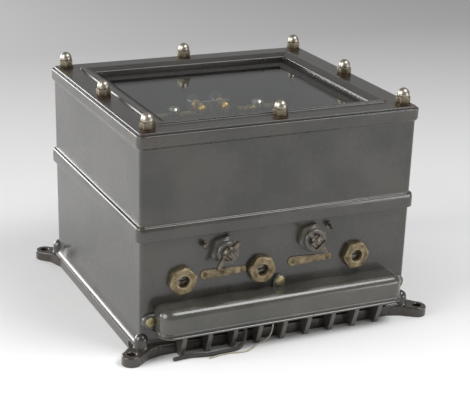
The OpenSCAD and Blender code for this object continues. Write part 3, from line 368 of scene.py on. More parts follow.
def oil_enamel(name, base="272724", light="3a3833", brown="42382d", worn="8b8579", gloss=0.24):
    """Brushed oil enamel on cast iron: semi-gloss under a thin varnish, faintly pitted by
    the sand mould, clouded by age, brown where dirt or rust comes through. The attributes
    worn and grimy say where edges are rubbed bare and where dirt lies."""
    material, add, place = new_material(name)
    # Patterns to the metre: clouds of 70 mm, cast pits of 2.4 mm, drips of 11 mm, chips of 6 mm.
    clouds, pits, drips, chips = 14.0, 420.0, 90.0, 160.0
    cloud = add("TexNoise", Vector=place, Scale=clouds, Detail=6.0, Roughness=0.6)
    fleck = add("TexNoise", Vector=place, Scale=pits, Detail=5.0, Roughness=0.65)
    smear = add("Mapping", Vector=place, Scale=(1.0, 1.0, 0.16))
    streak = add("TexNoise", Vector=smear, Scale=drips, Detail=4.0)
    chip = add("TexNoise", Vector=place, Scale=chips, Detail=6.0, Roughness=0.7)
    grimy, rubbed = (add("Attribute", attribute_name=what).outputs["Fac"]
                     for what in ("grimy", "worn"))
    dirt = add("ValToRGB", stops=((0.50, 0.0), (0.72, 0.30)), Fac=streak)
    rust = add("ValToRGB", stops=((0.40, 0.35), (0.62, 1.0)), Fac=fleck)
    grime = add("Math", operation="MULTIPLY", i0=grimy, i1=cloud)
    grime = add("Math", operation="MULTIPLY", use_clamp=True, i0=grime, i1=rust)
    bare = add("Math", operation="MULTIPLY_ADD", i0=rubbed, i1=0.62, i2=chip)
    bare = add("ValToRGB", stops=((1.10, 0.0), (1.20, 1.0)), Fac=bare)
    colour = add("ValToRGB", stops=((0.38, base), (0.62, light)), Fac=cloud)
    for amount, over in ((dirt, brown), (grime, "4a3527"), (bare, worn)):
        colour = add("Mix", data_type="RGBA", i0=amount, i6=colour, i7=linear(over)).outputs[2]
    rough = add("ValToRGB", stops=((0.3, gloss - 0.06), (0.7, gloss + 0.10)), Fac=cloud)
    relief = add("Math", operation="MULTIPLY_ADD", i0=fleck, i1=0.30, i2=cloud)
    return dressed(material, relief, 0.3, 1.0 * MM, Base_Color=colour, Roughness=rough,
                   Coat_Weight=0.5, Coat_Roughness=0.12)


CASE_PAINT = oil_enamel("brushed_grey_enamel")
EDGE_GAP = 2.5 * MM


def shares(length, gap, step):
    """Places from 0 to 1 along a straight: one a gap from each end, the rest even."""
    near = gap / length
    return np.r_[near, np.linspace(near, 1 - near, 2 + int(length / step))[1:-1], 1 - near]


def rounded_loop(half_x, half_y, radius, steps, corner_steps=8):
    """Outline of a rounded rectangle, anticlockwise from the +X side: each corner is a
    quarter circle of the radius, and each side has points at the shares in steps."""
    angle = np.linspace(0, np.pi / 2, corner_steps)
    corner = np.column_stack([np.cos(angle), np.sin(angle)]) * radius
    turn = np.array([[0, -1], [1, 0]])
    arcs = [corner @ np.linalg.matrix_power(turn, k).T
            + [sx * (half_x - radius), sy * (half_y - radius)]
            for k, (sx, sy) in enumerate(((1, 1), (-1, 1), (-1, -1), (1, -1)))]
    out = []
    for k, arc in enumerate(arcs):
        share = steps[k % 2][:, None]
        out += [arc, arc[-1] * (1 - share) + arcs[(k + 1) % 4][0] * share]
    return np.vstack(out)


def with_rows(profile):
    """Profile with points added on its long straights, so that wear can fade near edges."""
    out = [profile[:1]]
    for a, b in zip(profile[:-1], profile[1:]):
        length = np.linalg.norm(b - a)
        if length > 4 * EDGE_GAP:
            out.append(a + (b - a) * shares(length, EDGE_GAP, 14 * MM)[:, None])
        out.append(b[None])
    return np.vstack(out)


def eased(points, radii, steps=4, closed=False):
    """Polyline with each point replaced by a short quadratic arc that starts and ends its
    radius away along the two neighbouring lines; a radius of 0 keeps the point."""
    points = np.asarray(points, float)
    out = []
    count = len(points)
    for i in range(count):
        if radii[i] <= 0 or (not closed and i in (0, count - 1)):
            out.append(points[i:i + 1])
            continue
        before, after = points[i - 1] - points[i], points[(i + 1) % count] - points[i]
        reach = min(radii[i], 0.49 * np.linalg.norm(before), 0.49 * np.linalg.norm(after))
        a = points[i] + before / np.linalg.norm(before) * reach
        b = points[i] + after / np.linalg.norm(after) * reach
        t = np.linspace(0, 1, steps + 1)[:, None]
        out.append((1 - t) ** 2 * a + 2 * t * (1 - t) * points[i] + t ** 2 * b)
    return np.vstack(out)


def eased_ring(points, soft_mm, steps):
    """Closed profile with eased corners, whose radii are in millimetres, and added rows."""
    shape = eased(points, np.array(soft_mm) * MM, steps, closed=True)
    return with_rows(np.vstack([shape, shape[:1]]))[:-1]


def capped_grid(rows, columns, closed=False):
    """Quads of a tube of rings, with one face over each end unless its rows are closed."""
    faces = grid_faces(rows, columns, close_rows=closed)
    if not closed:
        faces += [list(range(columns))[::-1], list(range((rows - 1) * columns, rows * columns))]
    return faces


def swept_ring(profile, closed=True):
    """Profile of (distance out, height) carried round the case's outline: each of its
    points becomes one rounded loop, grown by its distance. Returns points and faces."""
    steps = [shares(2 * half, EDGE_GAP, 12 * MM) for half in (HALF_X, HALF_Y)]
    rows = []
    for out, height in profile:
        loop = rounded_loop(HALF_X + out, HALF_Y + out, max(CORNER_R + out, 1.2 * MM), steps)
        rows.append(np.column_stack([loop, np.full(len(loop), height)]))
    return np.vstack(rows), capped_grid(len(rows), len(rows[0]), closed)


def turned(profile, at, sides=72, axis="z", flats=None, turn=0.0, closed=False):
    """Profile of (radius, height) turned round an upright axis, or one that comes out of
    the front, through a point. With flats, the width of a hexagon across them, each ring
    follows its circle or the hexagon, whichever is nearer the axis."""
    angle = np.linspace(0, 2 * np.pi, sides, endpoint=False)
    profile = np.asarray(profile, float)
    radius = profile[:, :1] * np.ones(sides)
    if flats:
        off = (angle + turn + np.pi / 6) % (np.pi / 3) - np.pi / 6
        radius = np.minimum(radius, flats / 2 / np.cos(off))
    points = np.stack([radius * np.cos(angle), radius * np.sin(angle),
                       np.repeat(profile[:, 1:], sides, axis=1)], -1).reshape(-1, 3)
    if axis == "front":
        points = np.column_stack([points[:, 0], -points[:, 2], points[:, 1]])
    return points + np.array(at), capped_grid(len(profile), sides, closed)


def join(*surfaces):
    """Several (points, faces) as one, each face's numbers moved past the points before."""
    points, faces, start = [], [], 0
    for some_points, some_faces in surfaces:
        points.append(some_points)
        faces += [[v + start for v in face] for face in some_faces]
        start += len(some_points)
    return np.vstack(points), faces


def paint_attribute(item, name, values):
    """Stores one number for each vertex under a name that a material can read."""
    attribute = item.data.attributes.new(name, "FLOAT", "POINT")
    attribute.data.foreach_set("value", np.asarray(values, np.float32))


def mark_edges(item, spread):
    """Attribute worn: how sharply the faces round a point turn away from each other,
    which is high on rounded edges that stand out, scaled so that spread radians is 1."""
    work = bmesh.new()
    work.from_mesh(item.data)
    sharp = np.zeros(len(work.verts))
    for edge in work.edges:
        if len(edge.link_faces) == 2:
            turn = edge.calc_face_angle_signed(0.0)
            if turn > 0.05:
                for vert in edge.verts:
                    sharp[vert.index] = max(sharp[vert.index], turn)
    work.free()
    paint_attribute(item, "worn", np.clip(sharp / spread, 0, 1))


case_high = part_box("lower_case")[1]
frame_low, frame_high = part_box("window_frame")
HALF_X, HALF_Y = frame_high[0], frame_high[1]
RIM, CORNER_R, WALL, FLOOR_T = case_high[2], 4 * MM, 7 * MM, 6 * MM
PLINTH_OUT, PLINTH_H, COVE_TOP = 5 * MM, 11.5 * MM, 25 * MM
LUG_AT = np.array([case_high[0] - 10 * MM, case_high[1] - 10 * MM])
LUG_R, LUG_T, LUG_HOLE_R, LUG_SOFT = 10 * MM, 10.5 * MM, 4.5 * MM, 1.6 * MM
GUSSET_R = 7 * MM
GRIME_H = 18 * MM


def lower_shell():
    """Wall, plinth and floor: from the outer edge of the underside up the plinth and the
    cove, which is a quarter ellipse, over the rim and down the inside to the floor."""
    a = np.linspace(0, np.pi / 2, 9)[1:]
    cove = np.column_stack([PLINTH_OUT * (1 - np.sin(a)),
                            COVE_TOP - (COVE_TOP - PLINTH_H) * np.cos(a)])
    start = eased([[PLINTH_OUT - 2 * MM, 0], [PLINTH_OUT, 0], [PLINTH_OUT, PLINTH_H], cove[0]],
                  [0, 0.6 * MM, 1.6 * MM, 0])
    rest = eased([cove[-1], [0, RIM], [-WALL, RIM], [-WALL, FLOOR_T]],
                 [0, 0.6 * MM, 0.6 * MM, 0])
    return swept_ring(with_rows(np.vstack([start[:-1], cove, rest[1:]])), closed=False)


def lug_outline(count=128):
    """Distance from the hole's centre to the lug's edge at each angle: rays are cut with
    the sides of the lug's polygon and with its round tip, then rounded by averaging."""
    tip = LUG_R / math.sqrt(2)
    x, y = LUG_AT
    a = np.array([
        [HALF_X - 26 * MM, HALF_Y - 2 * MM], [HALF_X - 26 * MM, HALF_Y + PLINTH_OUT - 0.5 * MM],
        [HALF_X - 8 * MM, HALF_Y + PLINTH_OUT + 2.5 * MM], [x - tip, y + tip],
        [x + tip, y - tip], [HALF_X + PLINTH_OUT + 2.5 * MM, HALF_Y - 9 * MM],
        [HALF_X + PLINTH_OUT - 0.5 * MM, HALF_Y - 28 * MM], [HALF_X - 2 * MM, HALF_Y - 28 * MM],
        [HALF_X - 3 * MM, HALF_Y - 3 * MM]]) - LUG_AT
    angle = np.linspace(0, 2 * np.pi, count, endpoint=False)
    ray = np.column_stack([np.cos(angle), np.sin(angle)])
    side = np.roll(a, -1, axis=0) - a
    cross = ray[:, None, 0] * side[None, :, 1] - ray[:, None, 1] * side[None, :, 0]
    along = (a[None, :, 0] * side[None, :, 1] - a[None, :, 1] * side[None, :, 0]) / cross
    where = (a[None, :, 0] * ray[:, None, 1] - a[None, :, 1] * ray[:, None, 0]) / cross
    reach = np.where((along > 0) & (where >= 0) & (where <= 1), along, 0).max(axis=1)
    reach = np.where(np.cos(angle - np.pi / 4) > 0, LUG_R, reach)
    wrapped = np.r_[reach[-1:], reach, reach[:1]]
    return angle, np.convolve(wrapped, np.array([1, 2, 1]) / 4, mode="valid")


def lug(sx, sy):
    """Corner lug as a ring round its hole: at each angle the section goes up the hole,
    out over the top, round the upper edge and back along the underside."""
    angle, reach = lug_outline()
    hole, top, soft = LUG_HOLE_R, LUG_T, LUG_SOFT
    rows = [(hole, 0.0), (hole, top - 0.5 * MM), (hole + 0.5 * MM, top)]
    rows += [(hole + (reach - hole) * share, top) for share in (0.35, 0.7)]
    rows += [(reach - soft + soft * np.sin(t), top - soft + soft * np.cos(t))
             for t in np.linspace(0, np.pi / 2, 5)]
    rows += [(reach, 0.4 * MM), (reach - 0.4 * MM, 0.0)]
    points = np.vstack([np.column_stack([LUG_AT[0] + r * np.cos(angle), LUG_AT[1]
                                         + r * np.sin(angle), np.full(len(angle), z)])
                        for r, z in rows])
    return points * [sx, sy, 1], grid_faces(len(rows), len(angle), close_rows=True)


def gusset(sx, sy):
    """Rounded hump between lug and wall: a short skirt, then a quarter circle, turned."""
    r = GUSSET_R
    t = np.linspace(0, np.pi / 2, 9)
    radius = np.r_[r + 1.5 * MM, r + 0.4 * MM, r * np.cos(t)]
    height = np.r_[LUG_T - 1 * MM, LUG_T + 2 * MM, COVE_TOP - r + r * np.sin(t)]
    return turned(np.column_stack([radius, height]),
                  [sx * (HALF_X - 1 * MM), sy * (HALF_Y - 1 * MM), 0], 32)


def boss(sx, sy, inset_x, inset_y, radius, low, high):
    """Round pillar inside a corner, its centre inset from the two inner walls."""
    return turned([[radius, low], [radius, high]],
                  [sx * (HALF_X - WALL - inset_x), sy * (HALF_Y - WALL - inset_y), 0], 24)


castings = [lower_shell()]
for corner in ((1, 1), (-1, 1), (-1, -1), (1, -1)):
    castings += [lug(*corner), gusset(*corner),
                 boss(*corner, 7 * MM, 7 * MM, 8 * MM, FLOOR_T - MM, RIM),
                 boss(*corner, 15 * MM, 33 * MM, 10 * MM, FLOOR_T - MM, FLOOR_T + 4 * MM)]
lower = stands_for(mesh_object("lower_case_casting", join(*castings), CASE_PAINT), "lower_case")
mark_edges(lower, 0.35)
paint_attribute(lower, "grimy", np.clip(1.0 - vertices_of(lower)[:, 2] / GRIME_H, 0, 0.45))


# ---------------------------------------------------------------------------
# Upper case. A second iron casting that drops over the lower one: a half-round band
# at its skirt, straight walls, and a moulded lip whose rebate takes the window. Both
# castings are painted near black inside as painted shade for the dark interior.

upper_low, upper_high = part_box("upper_case")
BAND_LOW, BAND_HIGH, BAND_OUT = upper_low[2], 137 * MM, 4 * MM
FLANGE_LOW, FLANGE_OUT, CASE_TOP = 215 * MM, 3 * MM, upper_high[2]
REBATE_Z, REBATE_T, OPENING_IN = CASE_TOP - 3 * MM, 12 * MM, 26 * MM
FIT = 0.3 * MM
STUD_X, STUD_Y = 139 * MM, 124 * MM
STUDS = [(x * STUD_X, y * STUD_Y) for x in (-1, 0, 1) for y in (-1, 0, 1) if x or y]


def shade_black_finish(name):
    """Near black and matt, a little uneven from the brush (17 mm): painted shade for the dark
    inside of the castings.
    """
    material, add, place = new_material(name)
    cloud = add("TexNoise", Vector=place, Scale=60.0, Detail=4.0)
    tone = add("ValToRGB", stops=((0.3, "1b1b1a"), (0.7, "2a2927")), Fac=cloud)
    return dressed(material, cloud, 0.3, 0.6 * MM, Base_Color=tone, Roughness=0.75)


def upper_profile():
    """Closed section from the skirt's inner edge: out under the band, round its nose, up
    the wall, out into the lip, over its rounded shoulder, down into the rebate, along the
    plate and back down the inside."""
    points = [[FIT, BAND_LOW], [BAND_OUT, BAND_LOW], [BAND_OUT, BAND_HIGH - BAND_OUT],
              [BAND_OUT * 0.72, BAND_HIGH], [0, BAND_HIGH], [0, FLANGE_LOW - 1 * MM],
              [FLANGE_OUT, FLANGE_LOW + 1.5 * MM], [FLANGE_OUT, CASE_TOP], [FIT, CASE_TOP],
              [FIT, REBATE_Z], [-OPENING_IN, REBATE_Z], [-OPENING_IN, REBATE_Z - REBATE_T],
              [-WALL, REBATE_Z - REBATE_T], [-WALL, RIM + 2 * MM], [FIT, RIM + 2 * MM]]
    return eased_ring(points, [0.4, 1.2, 3.2, 1.6, 1.6, 3.5, 3.0, 2.4, 0.6, 0, 0.5, 0.5, 3, 0.5,
                               0.4], 6)


def paint_shade_inside(item, paint):
    """Faces whose middle is inside the walls and below the window get the near-black painted shade.
    """
    item.data.materials.append(paint)
    middle = np.zeros(len(item.data.polygons) * 3)
    item.data.polygons.foreach_get("center", middle)
    middle = middle.reshape(-1, 3)
    slack = 0.2 * MM
    inside = ((np.abs(middle[:, 0]) < HALF_X - WALL + slack)
              & (np.abs(middle[:, 1]) < HALF_Y - WALL + slack)
              & (middle[:, 2] < REBATE_Z - slack) & (middle[:, 2] > 1 * MM))
    item.data.polygons.foreach_set("material_index", inside.astype(np.int32))


def from_stud(spots):
    """Distance, seen from above, from each point to the nearest window stud."""
    return np.min([np.hypot(spots[:, 0] - x, spots[:, 1] - y) for x, y in STUDS], axis=0)


upper = stands_for(mesh_object("upper_case_casting", swept_ring(upper_profile()), CASE_PAINT),
                   "upper_case")
mark_edges(upper, 0.5)
spots = vertices_of(upper)
on_band = np.clip(0.6 - np.abs(spots[:, 2] - BAND_HIGH) / (4 * MM), 0, 0.35)
by_nut = np.clip(1 - from_stud(spots) / (30 * MM), 0, 1)
paint_attribute(upper, "grimy", on_band + np.where(spots[:, 2] > FLANGE_LOW, by_nut, 0))
# Painted shade: the inside walls of both castings are coloured near black.
inside_shade_paint = shade_black_finish("inside_shade_black")
for casting in (lower, upper):
    paint_shade_inside(casting, inside_shade_paint)


# ---------------------------------------------------------------------------
# Gaskets between the two cases, under the window and behind the terminals. They are
# cut from black sheet rubber and squeezed by the screws beside them.

NODES = frame["nodes"]


def refinish(material, *nodes):
    """Gives CAD nodes whose shape is already right their real finish."""
    for node in nodes:
        NODES[node].data.materials.clear()
        NODES[node].data.materials.append(material)


def smooth_by_angle(item):
    """Bakes the item's modifiers into its mesh, then shades it smooth except at edges that
    turn by more than 35 degrees, or where a narrow bevel meets a face over 20 times its
    size, which stays flat."""
    graph = bpy.context.evaluated_depsgraph_get()
    done = bpy.data.meshes.new_from_object(item.evaluated_get(graph))
    item.modifiers.clear()
    item.data = done
    done.polygons.foreach_set("use_smooth", np.ones(len(done.polygons), bool))
    work = bmesh.new()
    work.from_mesh(done)
    for edge in work.edges:
        sizes = sorted(face.calc_area() for face in edge.link_faces)
        turn = edge.calc_face_angle(0.0)
        edge.smooth = turn < 0.03 or (turn < 0.61 and sizes[0] > 0.05 * sizes[-1])
    work.to_mesh(done)
    work.free()


def softened(material, width_mm, *nodes, segments=2):
    """Copies of CAD nodes whose sharp edges are rounded: triangles merged into flat faces,
    then a bevel of the given width wherever faces turn by more than 30 degrees."""
    for node in nodes:
        mesh = NODES[node].data.copy()
        mesh.name = node + "_softened"
        work = bmesh.new()
        work.from_mesh(mesh)
        bmesh.ops.remove_doubles(work, verts=work.verts, dist=1.5 * MERGE)
        bmesh.ops.dissolve_limit(work, angle_limit=0.02, verts=work.verts, edges=work.edges)
        work.to_mesh(mesh)
        work.free()
        item = in_scene(bpy.data.objects.new(node + "_part", mesh))
        bevel = item.modifiers.new("rounded", "BEVEL")
        bevel.width, bevel.segments = width_mm * MM, segments
        bevel.limit_method, bevel.angle_limit = "ANGLE", math.radians(30)
        bevel.harden_normals = False
        mesh.materials.clear()
        mesh.materials.append(material)
        smooth_by_angle(item)
        stands_for(item, node)
    return item


def clouded(name, dark, light, rough, metal, per_metre, bump=0.3 * MM, spread=(0.35, 0.65),
            stretch=(1.0, 1.0, 1.0)):
    """Plain finish with age in it: colour and roughness wander between two values with a
    noise of that many patches to the metre, which also lifts the surface a little."""
    material, add, place = new_material(name)
    held = add("Mapping", Vector=place, Scale=stretch)
    noise = add("TexNoise", Vector=held, Scale=per_metre, Detail=6.0, Roughness=0.62)
    tone = add("ValToRGB", stops=((spread[0], dark), (spread[1], light)), Fac=noise)
    gloss = add("ValToRGB", stops=((0.3, min(rough + 0.14, 1.0)), (0.7, max(rough - 0.08, 0.02))),
                Fac=noise)
    return dressed(material, noise, 0.3, bump, Base_Color=tone, Roughness=gloss, Metallic=metal)


# Moulded sheet rubber: black and matt, greyed a little by dust.
SHEET_RUBBER = clouded("black_sheet_rubber", "1f1e1d", "33312e", 0.72, 0.0, 240.0)
softened(SHEET_RUBBER, 0.25, "case_gasket", "window_gasket", "terminal_gasket", segments=1)


# ---------------------------------------------------------------------------
# Window. A cast frame drops over eight studs into the rebate. Inside its raised ridge it
# slopes down to the lip over a thick plate of glass, bedded in putty and rubber, which a
# ring with ten small screws squeezes from below.

FRAME_LOW, FRAME_LEDGE, FRAME_TOP = frame_low[2], 230 * MM, frame_high[2]
RIDGE_OUT, RIDGE_IN, LIP_IN, GLASS_IN, SPIGOT_IN = 23 * MM, 27 * MM, 36 * MM, 31.5 * MM, 26.5 * MM
PLATE_LOW, SEAT_Z = FRAME_LOW + 12.7 * MM, 222.3 * MM
PUTTY_IN, PANE_Z, STRIP_T = 47 * MM, 221.3 * MM, 2 * MM


def frame_profile():
    """Closed section: outer edge, flat ledge for the nuts, raised ridge, slope down to the
    lip, down beside the glass's seal, out past its edge, down the spigot and back under."""
    points = [[0, PLATE_LOW], [0, FRAME_LEDGE], [-RIDGE_OUT, FRAME_LEDGE], [-RIDGE_OUT, FRAME_TOP],
              [-RIDGE_IN, FRAME_TOP], [-LIP_IN, FRAME_LEDGE - MM], [-LIP_IN, SEAT_Z],
              [-GLASS_IN, SEAT_Z], [-GLASS_IN, FRAME_LOW], [-SPIGOT_IN, FRAME_LOW],
              [-SPIGOT_IN, PLATE_LOW]]
    return eased_ring(points, [0.3, 1.0, 1.2, 0.8, 1.0, 1.2, 0.3, 0.3, 0.3, 0.3, 0.5], 5)


def putty_and_strip():
    """Two closed sections carried round the window: a thin wedge of putty on the glass
    inside the lip, and a square rubber strip under the glass's edge."""
    edge = -LIP_IN + 0.2 * MM
    wedge = [[edge, PANE_Z], [edge, SEAT_Z], [-LIP_IN - 2 * MM, SEAT_Z],
             [-PUTTY_IN, PANE_Z + 0.25 * MM], [-PUTTY_IN - 0.5 * MM, PANE_Z]]
    strip = [[-GLASS_IN, FRAME_LOW], [-GLASS_IN, FRAME_LOW + STRIP_T],
             [-LIP_IN, FRAME_LOW + STRIP_T], [-LIP_IN, FRAME_LOW]]
    return join(swept_ring(wedge), swept_ring(strip))


def clear_glass(name, tint):
    """Polished glass. Rays from lamps pass it as if it were not there, so that what is
    behind it is lit."""
    material, add, _ = new_material(name)
    body = add("BsdfPrincipled", Roughness=0.0, IOR=1.45, Base_Color=linear(tint),
               Transmission_Weight=1.0)
    path = add("LightPath").outputs["Is Shadow Ray"]
    add("OutputMaterial", Surface=add("MixShader", i0=path, i1=body, i2=add("BsdfTransparent")))
    return material


# The case enamel, darker and greasier on the frame that is lifted off.
WINDOW_PAINT = oil_enamel("handled_grey_enamel", "272725", "343330", "403425", "8f887a", 0.28)
stands_for(mesh_object("window_glass_putty", putty_and_strip(), SHEET_RUBBER), "glass_seals")
ring = stands_for(mesh_object("window_frame_ring", swept_ring(frame_profile()), WINDOW_PAINT),
                  "window_frame")
mark_edges(ring, 0.45)
by_nut = np.clip(1.25 - from_stud(vertices_of(ring)) / (14 * MM), 0, 1)
paint_attribute(ring, "grimy", 0.12 + 0.88 * by_nut)
softened(clear_glass("plate_glass", "dfe6e2"), 0.4, "window_glass")

# Nickel plate gone dull and warm, and plain steel browned by rust.
NICKEL = clouded("dull_nickel_plate", "86827a", "cbc7bf", 0.30, 1.0, 260.0, 0.2 * MM)
DARK_STEEL = clouded("rusty_dark_steel", "2e2620", "6b5b4c", 0.55, 0.85, 420.0, 0.6 * MM)
softened(WINDOW_PAINT, 0.4, "glass_retainer")
softened(DARK_STEEL, 0.2, "retainer_screws", "window_studs")
softened(DARK_STEEL, 0.25, "stud_washers")


# ---------------------------------------------------------------------------
# Acorn nuts. Eight quarter-inch domed nuts turned and milled from bar: plated domes
# rubbed by hands, hexagons dull and brown with old dirt.

NUT_LOW, NUT_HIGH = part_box("acorn_nuts")
NUT_MM, NUT_HEX_MM, DOME_MM = 13.3, 7.2, 6.3


def chamfered(corner, height, drop, count=6):
    """Profile points of a turned chamfer: the radius falls from the corner circle by
    drop while the height rises along a slight curve to the given height."""
    t = np.linspace(0, 1, count)
    return np.column_stack([corner - drop * t, height - drop * 0.55 * (1 - t ** 1.2)])


def acorn(x, y):
    """Hexagon with chamfered ends under an egg-shaped dome: the dome's radius falls with
    its height t as (1 - t^2.6)^0.6. Each nut has stopped at its own angle."""
    corner = NUT_MM / math.sqrt(3)
    t = np.linspace(0, 1, 22)[:-1]
    top = (NUT_HIGH[2] - NUT_LOW[2]) / MM
    base = NUT_HEX_MM + 0.5
    dome = np.column_stack([DOME_MM * (1 - t ** 2.6) ** 0.6, base + (top - base) * t])
    profile = np.vstack([[[corner - 1.2, 0], [corner - 0.1, 0.6]],
                         chamfered(corner, NUT_HEX_MM, 1.4), [[5.7, NUT_HEX_MM + 0.1]],
                         dome[:1] * [0.99, 1], dome[1:], [[0.35, top]]])
    turn = 0.35 * math.sin(x * 91 + y * 57)
    return turned(profile * MM, [x, y, NUT_LOW[2]], flats=NUT_MM * MM, turn=turn)


def handled_nickel(name):
    """Nickel on steel: the plate has gone brown and rough low on the nut, and stays grey
    and smoother up the dome, where hands go. Spots are 2 mm across."""
    material, add, place = new_material(name)
    apart = add("SeparateXYZ", Vector=place)
    height = add("MapRange", i0=apart.outputs["Z"], From_Min=NUT_LOW[2], From_Max=NUT_HIGH[2])
    noise = add("TexNoise", Vector=place, Scale=520.0, Detail=6.0, Roughness=0.7)
    both = add("Math", operation="MULTIPLY_ADD", i0=noise, i1=0.35, i2=height)
    tone = add("ValToRGB", stops=((0.12, "3c3026"), (0.34, "716857"), (0.58, "7f7767"),
                                  (0.72, "989286"), (1.0, "aaa59a")), Fac=both)
    gloss = add("ValToRGB", stops=((0.2, 0.58), (0.6, 0.46), (0.8, 0.36)), Fac=both)
    return dressed(material, noise, 0.18, 0.4 * MM, Base_Color=tone, Roughness=gloss, Metallic=1.0)


stands_for(mesh_object("window_acorn_nuts", join(*[acorn(x, y) for x, y in STUDS]),
                       handled_nickel("handled_nickel_nuts"), 0.6), "acorn_nuts")


# ---------------------------------------------------------------------------
# Port bushes. Three hexagonal bushes turned from naval brass, screwed through the
# front. Three turned rings run round each mouth, where a key goes in to the adjuster.

PORT_X, PORT_Z = (-107 * MM, -21 * MM, 87 * MM), 77 * MM
FLATS_MM, FACE_MM, MOUTH_MM, SHANK_MM, BACK_MM = 27, 7, 6, 9.4, -6


def groove(radius):
    """Profile points, in millimetres, of a shallow turned ring in the bush's face."""
    deep = FACE_MM - 0.45
    return [[radius + 0.45, FACE_MM], [radius + 0.22, deep], [radius - 0.22, deep],
            [radius - 0.45, FACE_MM]]


def bush(x):
    """Closed section of the bush: chamfered hexagon, flat face with three turned rings,
    countersunk mouth, bore back through the wall, and the screwed shank."""
    corner = FLATS_MM / math.sqrt(3) - 0.9
    rim = np.vstack([[[corner - 0.8, 0], [corner, 0.7]], chamfered(corner, FACE_MM - 0.1, 2.0),
                     [[corner - 2.3, FACE_MM]], groove(11.4), groove(10.0), groove(8.6),
                     [[MOUTH_MM + 1.0, FACE_MM], [MOUTH_MM + 0.5, FACE_MM - 0.15],
                      [MOUTH_MM, FACE_MM - 0.9], [MOUTH_MM, 0.2], [MOUTH_MM, -3],
                      [MOUTH_MM, BACK_MM], [SHANK_MM, BACK_MM], [SHANK_MM, 0]]])
    return turned(rim * MM, [x, -HALF_Y, PORT_Z], axis="front", flats=FLATS_MM * MM,
                  turn=x * 17, closed=True)


def worn_brass(name, dark, mid, light, rough):
    """Brass gone buff: brown in its hollows and in patches of 7 mm, paler where it is
    handled, with a grain of about 1 mm."""
    material, add, place = new_material(name)
    patch = add("TexNoise", Vector=place, Scale=150.0, Detail=6.0, Roughness=0.65)
    grain = add("TexNoise", Vector=place, Scale=900.0, Detail=3.0)
    both = add("Math", operation="MULTIPLY_ADD", i0=grain, i1=0.25, i2=patch)
    tone = add("ValToRGB", stops=((0.46, dark), (0.58, mid), (0.78, light)), Fac=both)
    gloss = add("ValToRGB", stops=((0.45, min(rough + 0.25, 1.0)), (0.8, rough)), Fac=both)
    return dressed(material, both, 0.25, 0.4 * MM, Base_Color=tone, Roughness=gloss, Metallic=0.9)


# Turned naval brass gone buff with handling, and grey steel, oiled, down the bores.
BUFF_BRASS = worn_brass("buff_naval_brass", "62563f", "83765e", "9c8f76", 0.40)
BORE_STEEL = clouded("oiled_grey_steel", "3a3733", "86827a", 0.36, 0.9, 220.0, 0.2 * MM)
stands_for(mesh_object("hexagonal_port_bushes", join(*[bush(x) for x in PORT_X]), BUFF_BRASS,
                       0.6), "port_bushes")
softened(BORE_STEEL, 0.25, "adjuster_left", "adjuster_centre", "adjuster_right")


# ---------------------------------------------------------------------------
# Clamp glands. Two turned steel glands screwed into the front and painted with it; a
# spindle passes through each, behind its handle.

CLAMP_X, CLAMP_Z = (-62 * MM, 35 * MM), 103 * MM
HEX_MM, BOSS_MM, TOP_MM = 6, 12, 12
BORE_MM, SCREWED_MM, END_MM = 4.05, 8.9, -5


def gland(x):
    """Closed section: chamfered hexagon, round boss with a soft shoulder, bore, shank."""
    corner = FLATS_MM / math.sqrt(3)
    section = np.vstack([[[corner - 0.8, 0], [corner - 0.2, 0.5]],
                         chamfered(corner - 0.2, HEX_MM, 2.2),
                         [[BOSS_MM + 0.4, HEX_MM], [BOSS_MM, HEX_MM + 0.4],
                          [BOSS_MM, TOP_MM - 1.6], [BOSS_MM - 0.25, TOP_MM - 0.8],
                          [BOSS_MM - 0.8, TOP_MM - 0.2], [BOSS_MM - 1.5, TOP_MM],
                          [5.2, TOP_MM], [BORE_MM, TOP_MM - 0.8], [BORE_MM, 0.3],
                          [BORE_MM, END_MM], [SCREWED_MM, END_MM], [SCREWED_MM, 0]]])
    return turned(section * MM, [x, -HALF_Y, CLAMP_Z], axis="front", flats=FLATS_MM * MM,
                  turn=0.26, closed=True)


# The case enamel, chipped and browned where spanners and hands reach.
GLAND_PAINT = oil_enamel("chipped_grey_enamel", "3f3d39", "504d46", "574836", "8d8474", 0.28)
glands = stands_for(mesh_object("painted_clamp_glands", join(*[gland(x) for x in CLAMP_X]),
                                GLAND_PAINT, 0.5), "clamp_glands")
mark_edges(glands, 0.7)
softened(DARK_STEEL, 0.25, "front_locknuts")


# ---------------------------------------------------------------------------
# Clamp handles. Small steel castings with two wings and a pointer, pinned to their
# spindles; fingers have kept the tops bright and left dirt below.

# Cast steel: bare grey where fingers rub, brown in between.
HANDLE_STEEL = clouded("fingered_grey_steel", "3f3933", "7d766b", 0.38, 0.85, 150.0,
                       spread=(0.36, 0.66))
for side in ("left", "right"):
    softened(HANDLE_STEEL, 0.7, "clamp_handle_" + side, segments=3)
    softened(HANDLE_STEEL, 0.4, "clamp_spindle_" + side)


# ---------------------------------------------------------------------------
# Label plates. Thin brass plates, broad at the left and narrow at the right, held by
# two small slotted screws each. A plain scribed border follows the edge.

PLATE_Z, PLATE_HALF = 79 * MM, 25.2 * MM
BROAD_R, NARROW_R = 5.25 * MM, 3.1 * MM


def plate_outline(inset, count=16):
    """Tapered outline from above: a big arc at the left end and a small one at the right,
    joined by the straight lines that touch both, all drawn in by the inset."""
    big, small = BROAD_R - inset, NARROW_R - inset
    left, right = -PLATE_HALF + BROAD_R, PLATE_HALF - NARROW_R
    lean = math.asin((big - small) / (right - left))
    a = np.linspace(np.pi / 2 - lean, 3 * np.pi / 2 + lean, count)
    b = np.linspace(-np.pi / 2 + lean, np.pi / 2 - lean, count)
    return np.vstack([np.column_stack([left + big * np.cos(a), big * np.sin(a)]),
                      np.column_stack([right + small * np.cos(b), small * np.sin(b)])])


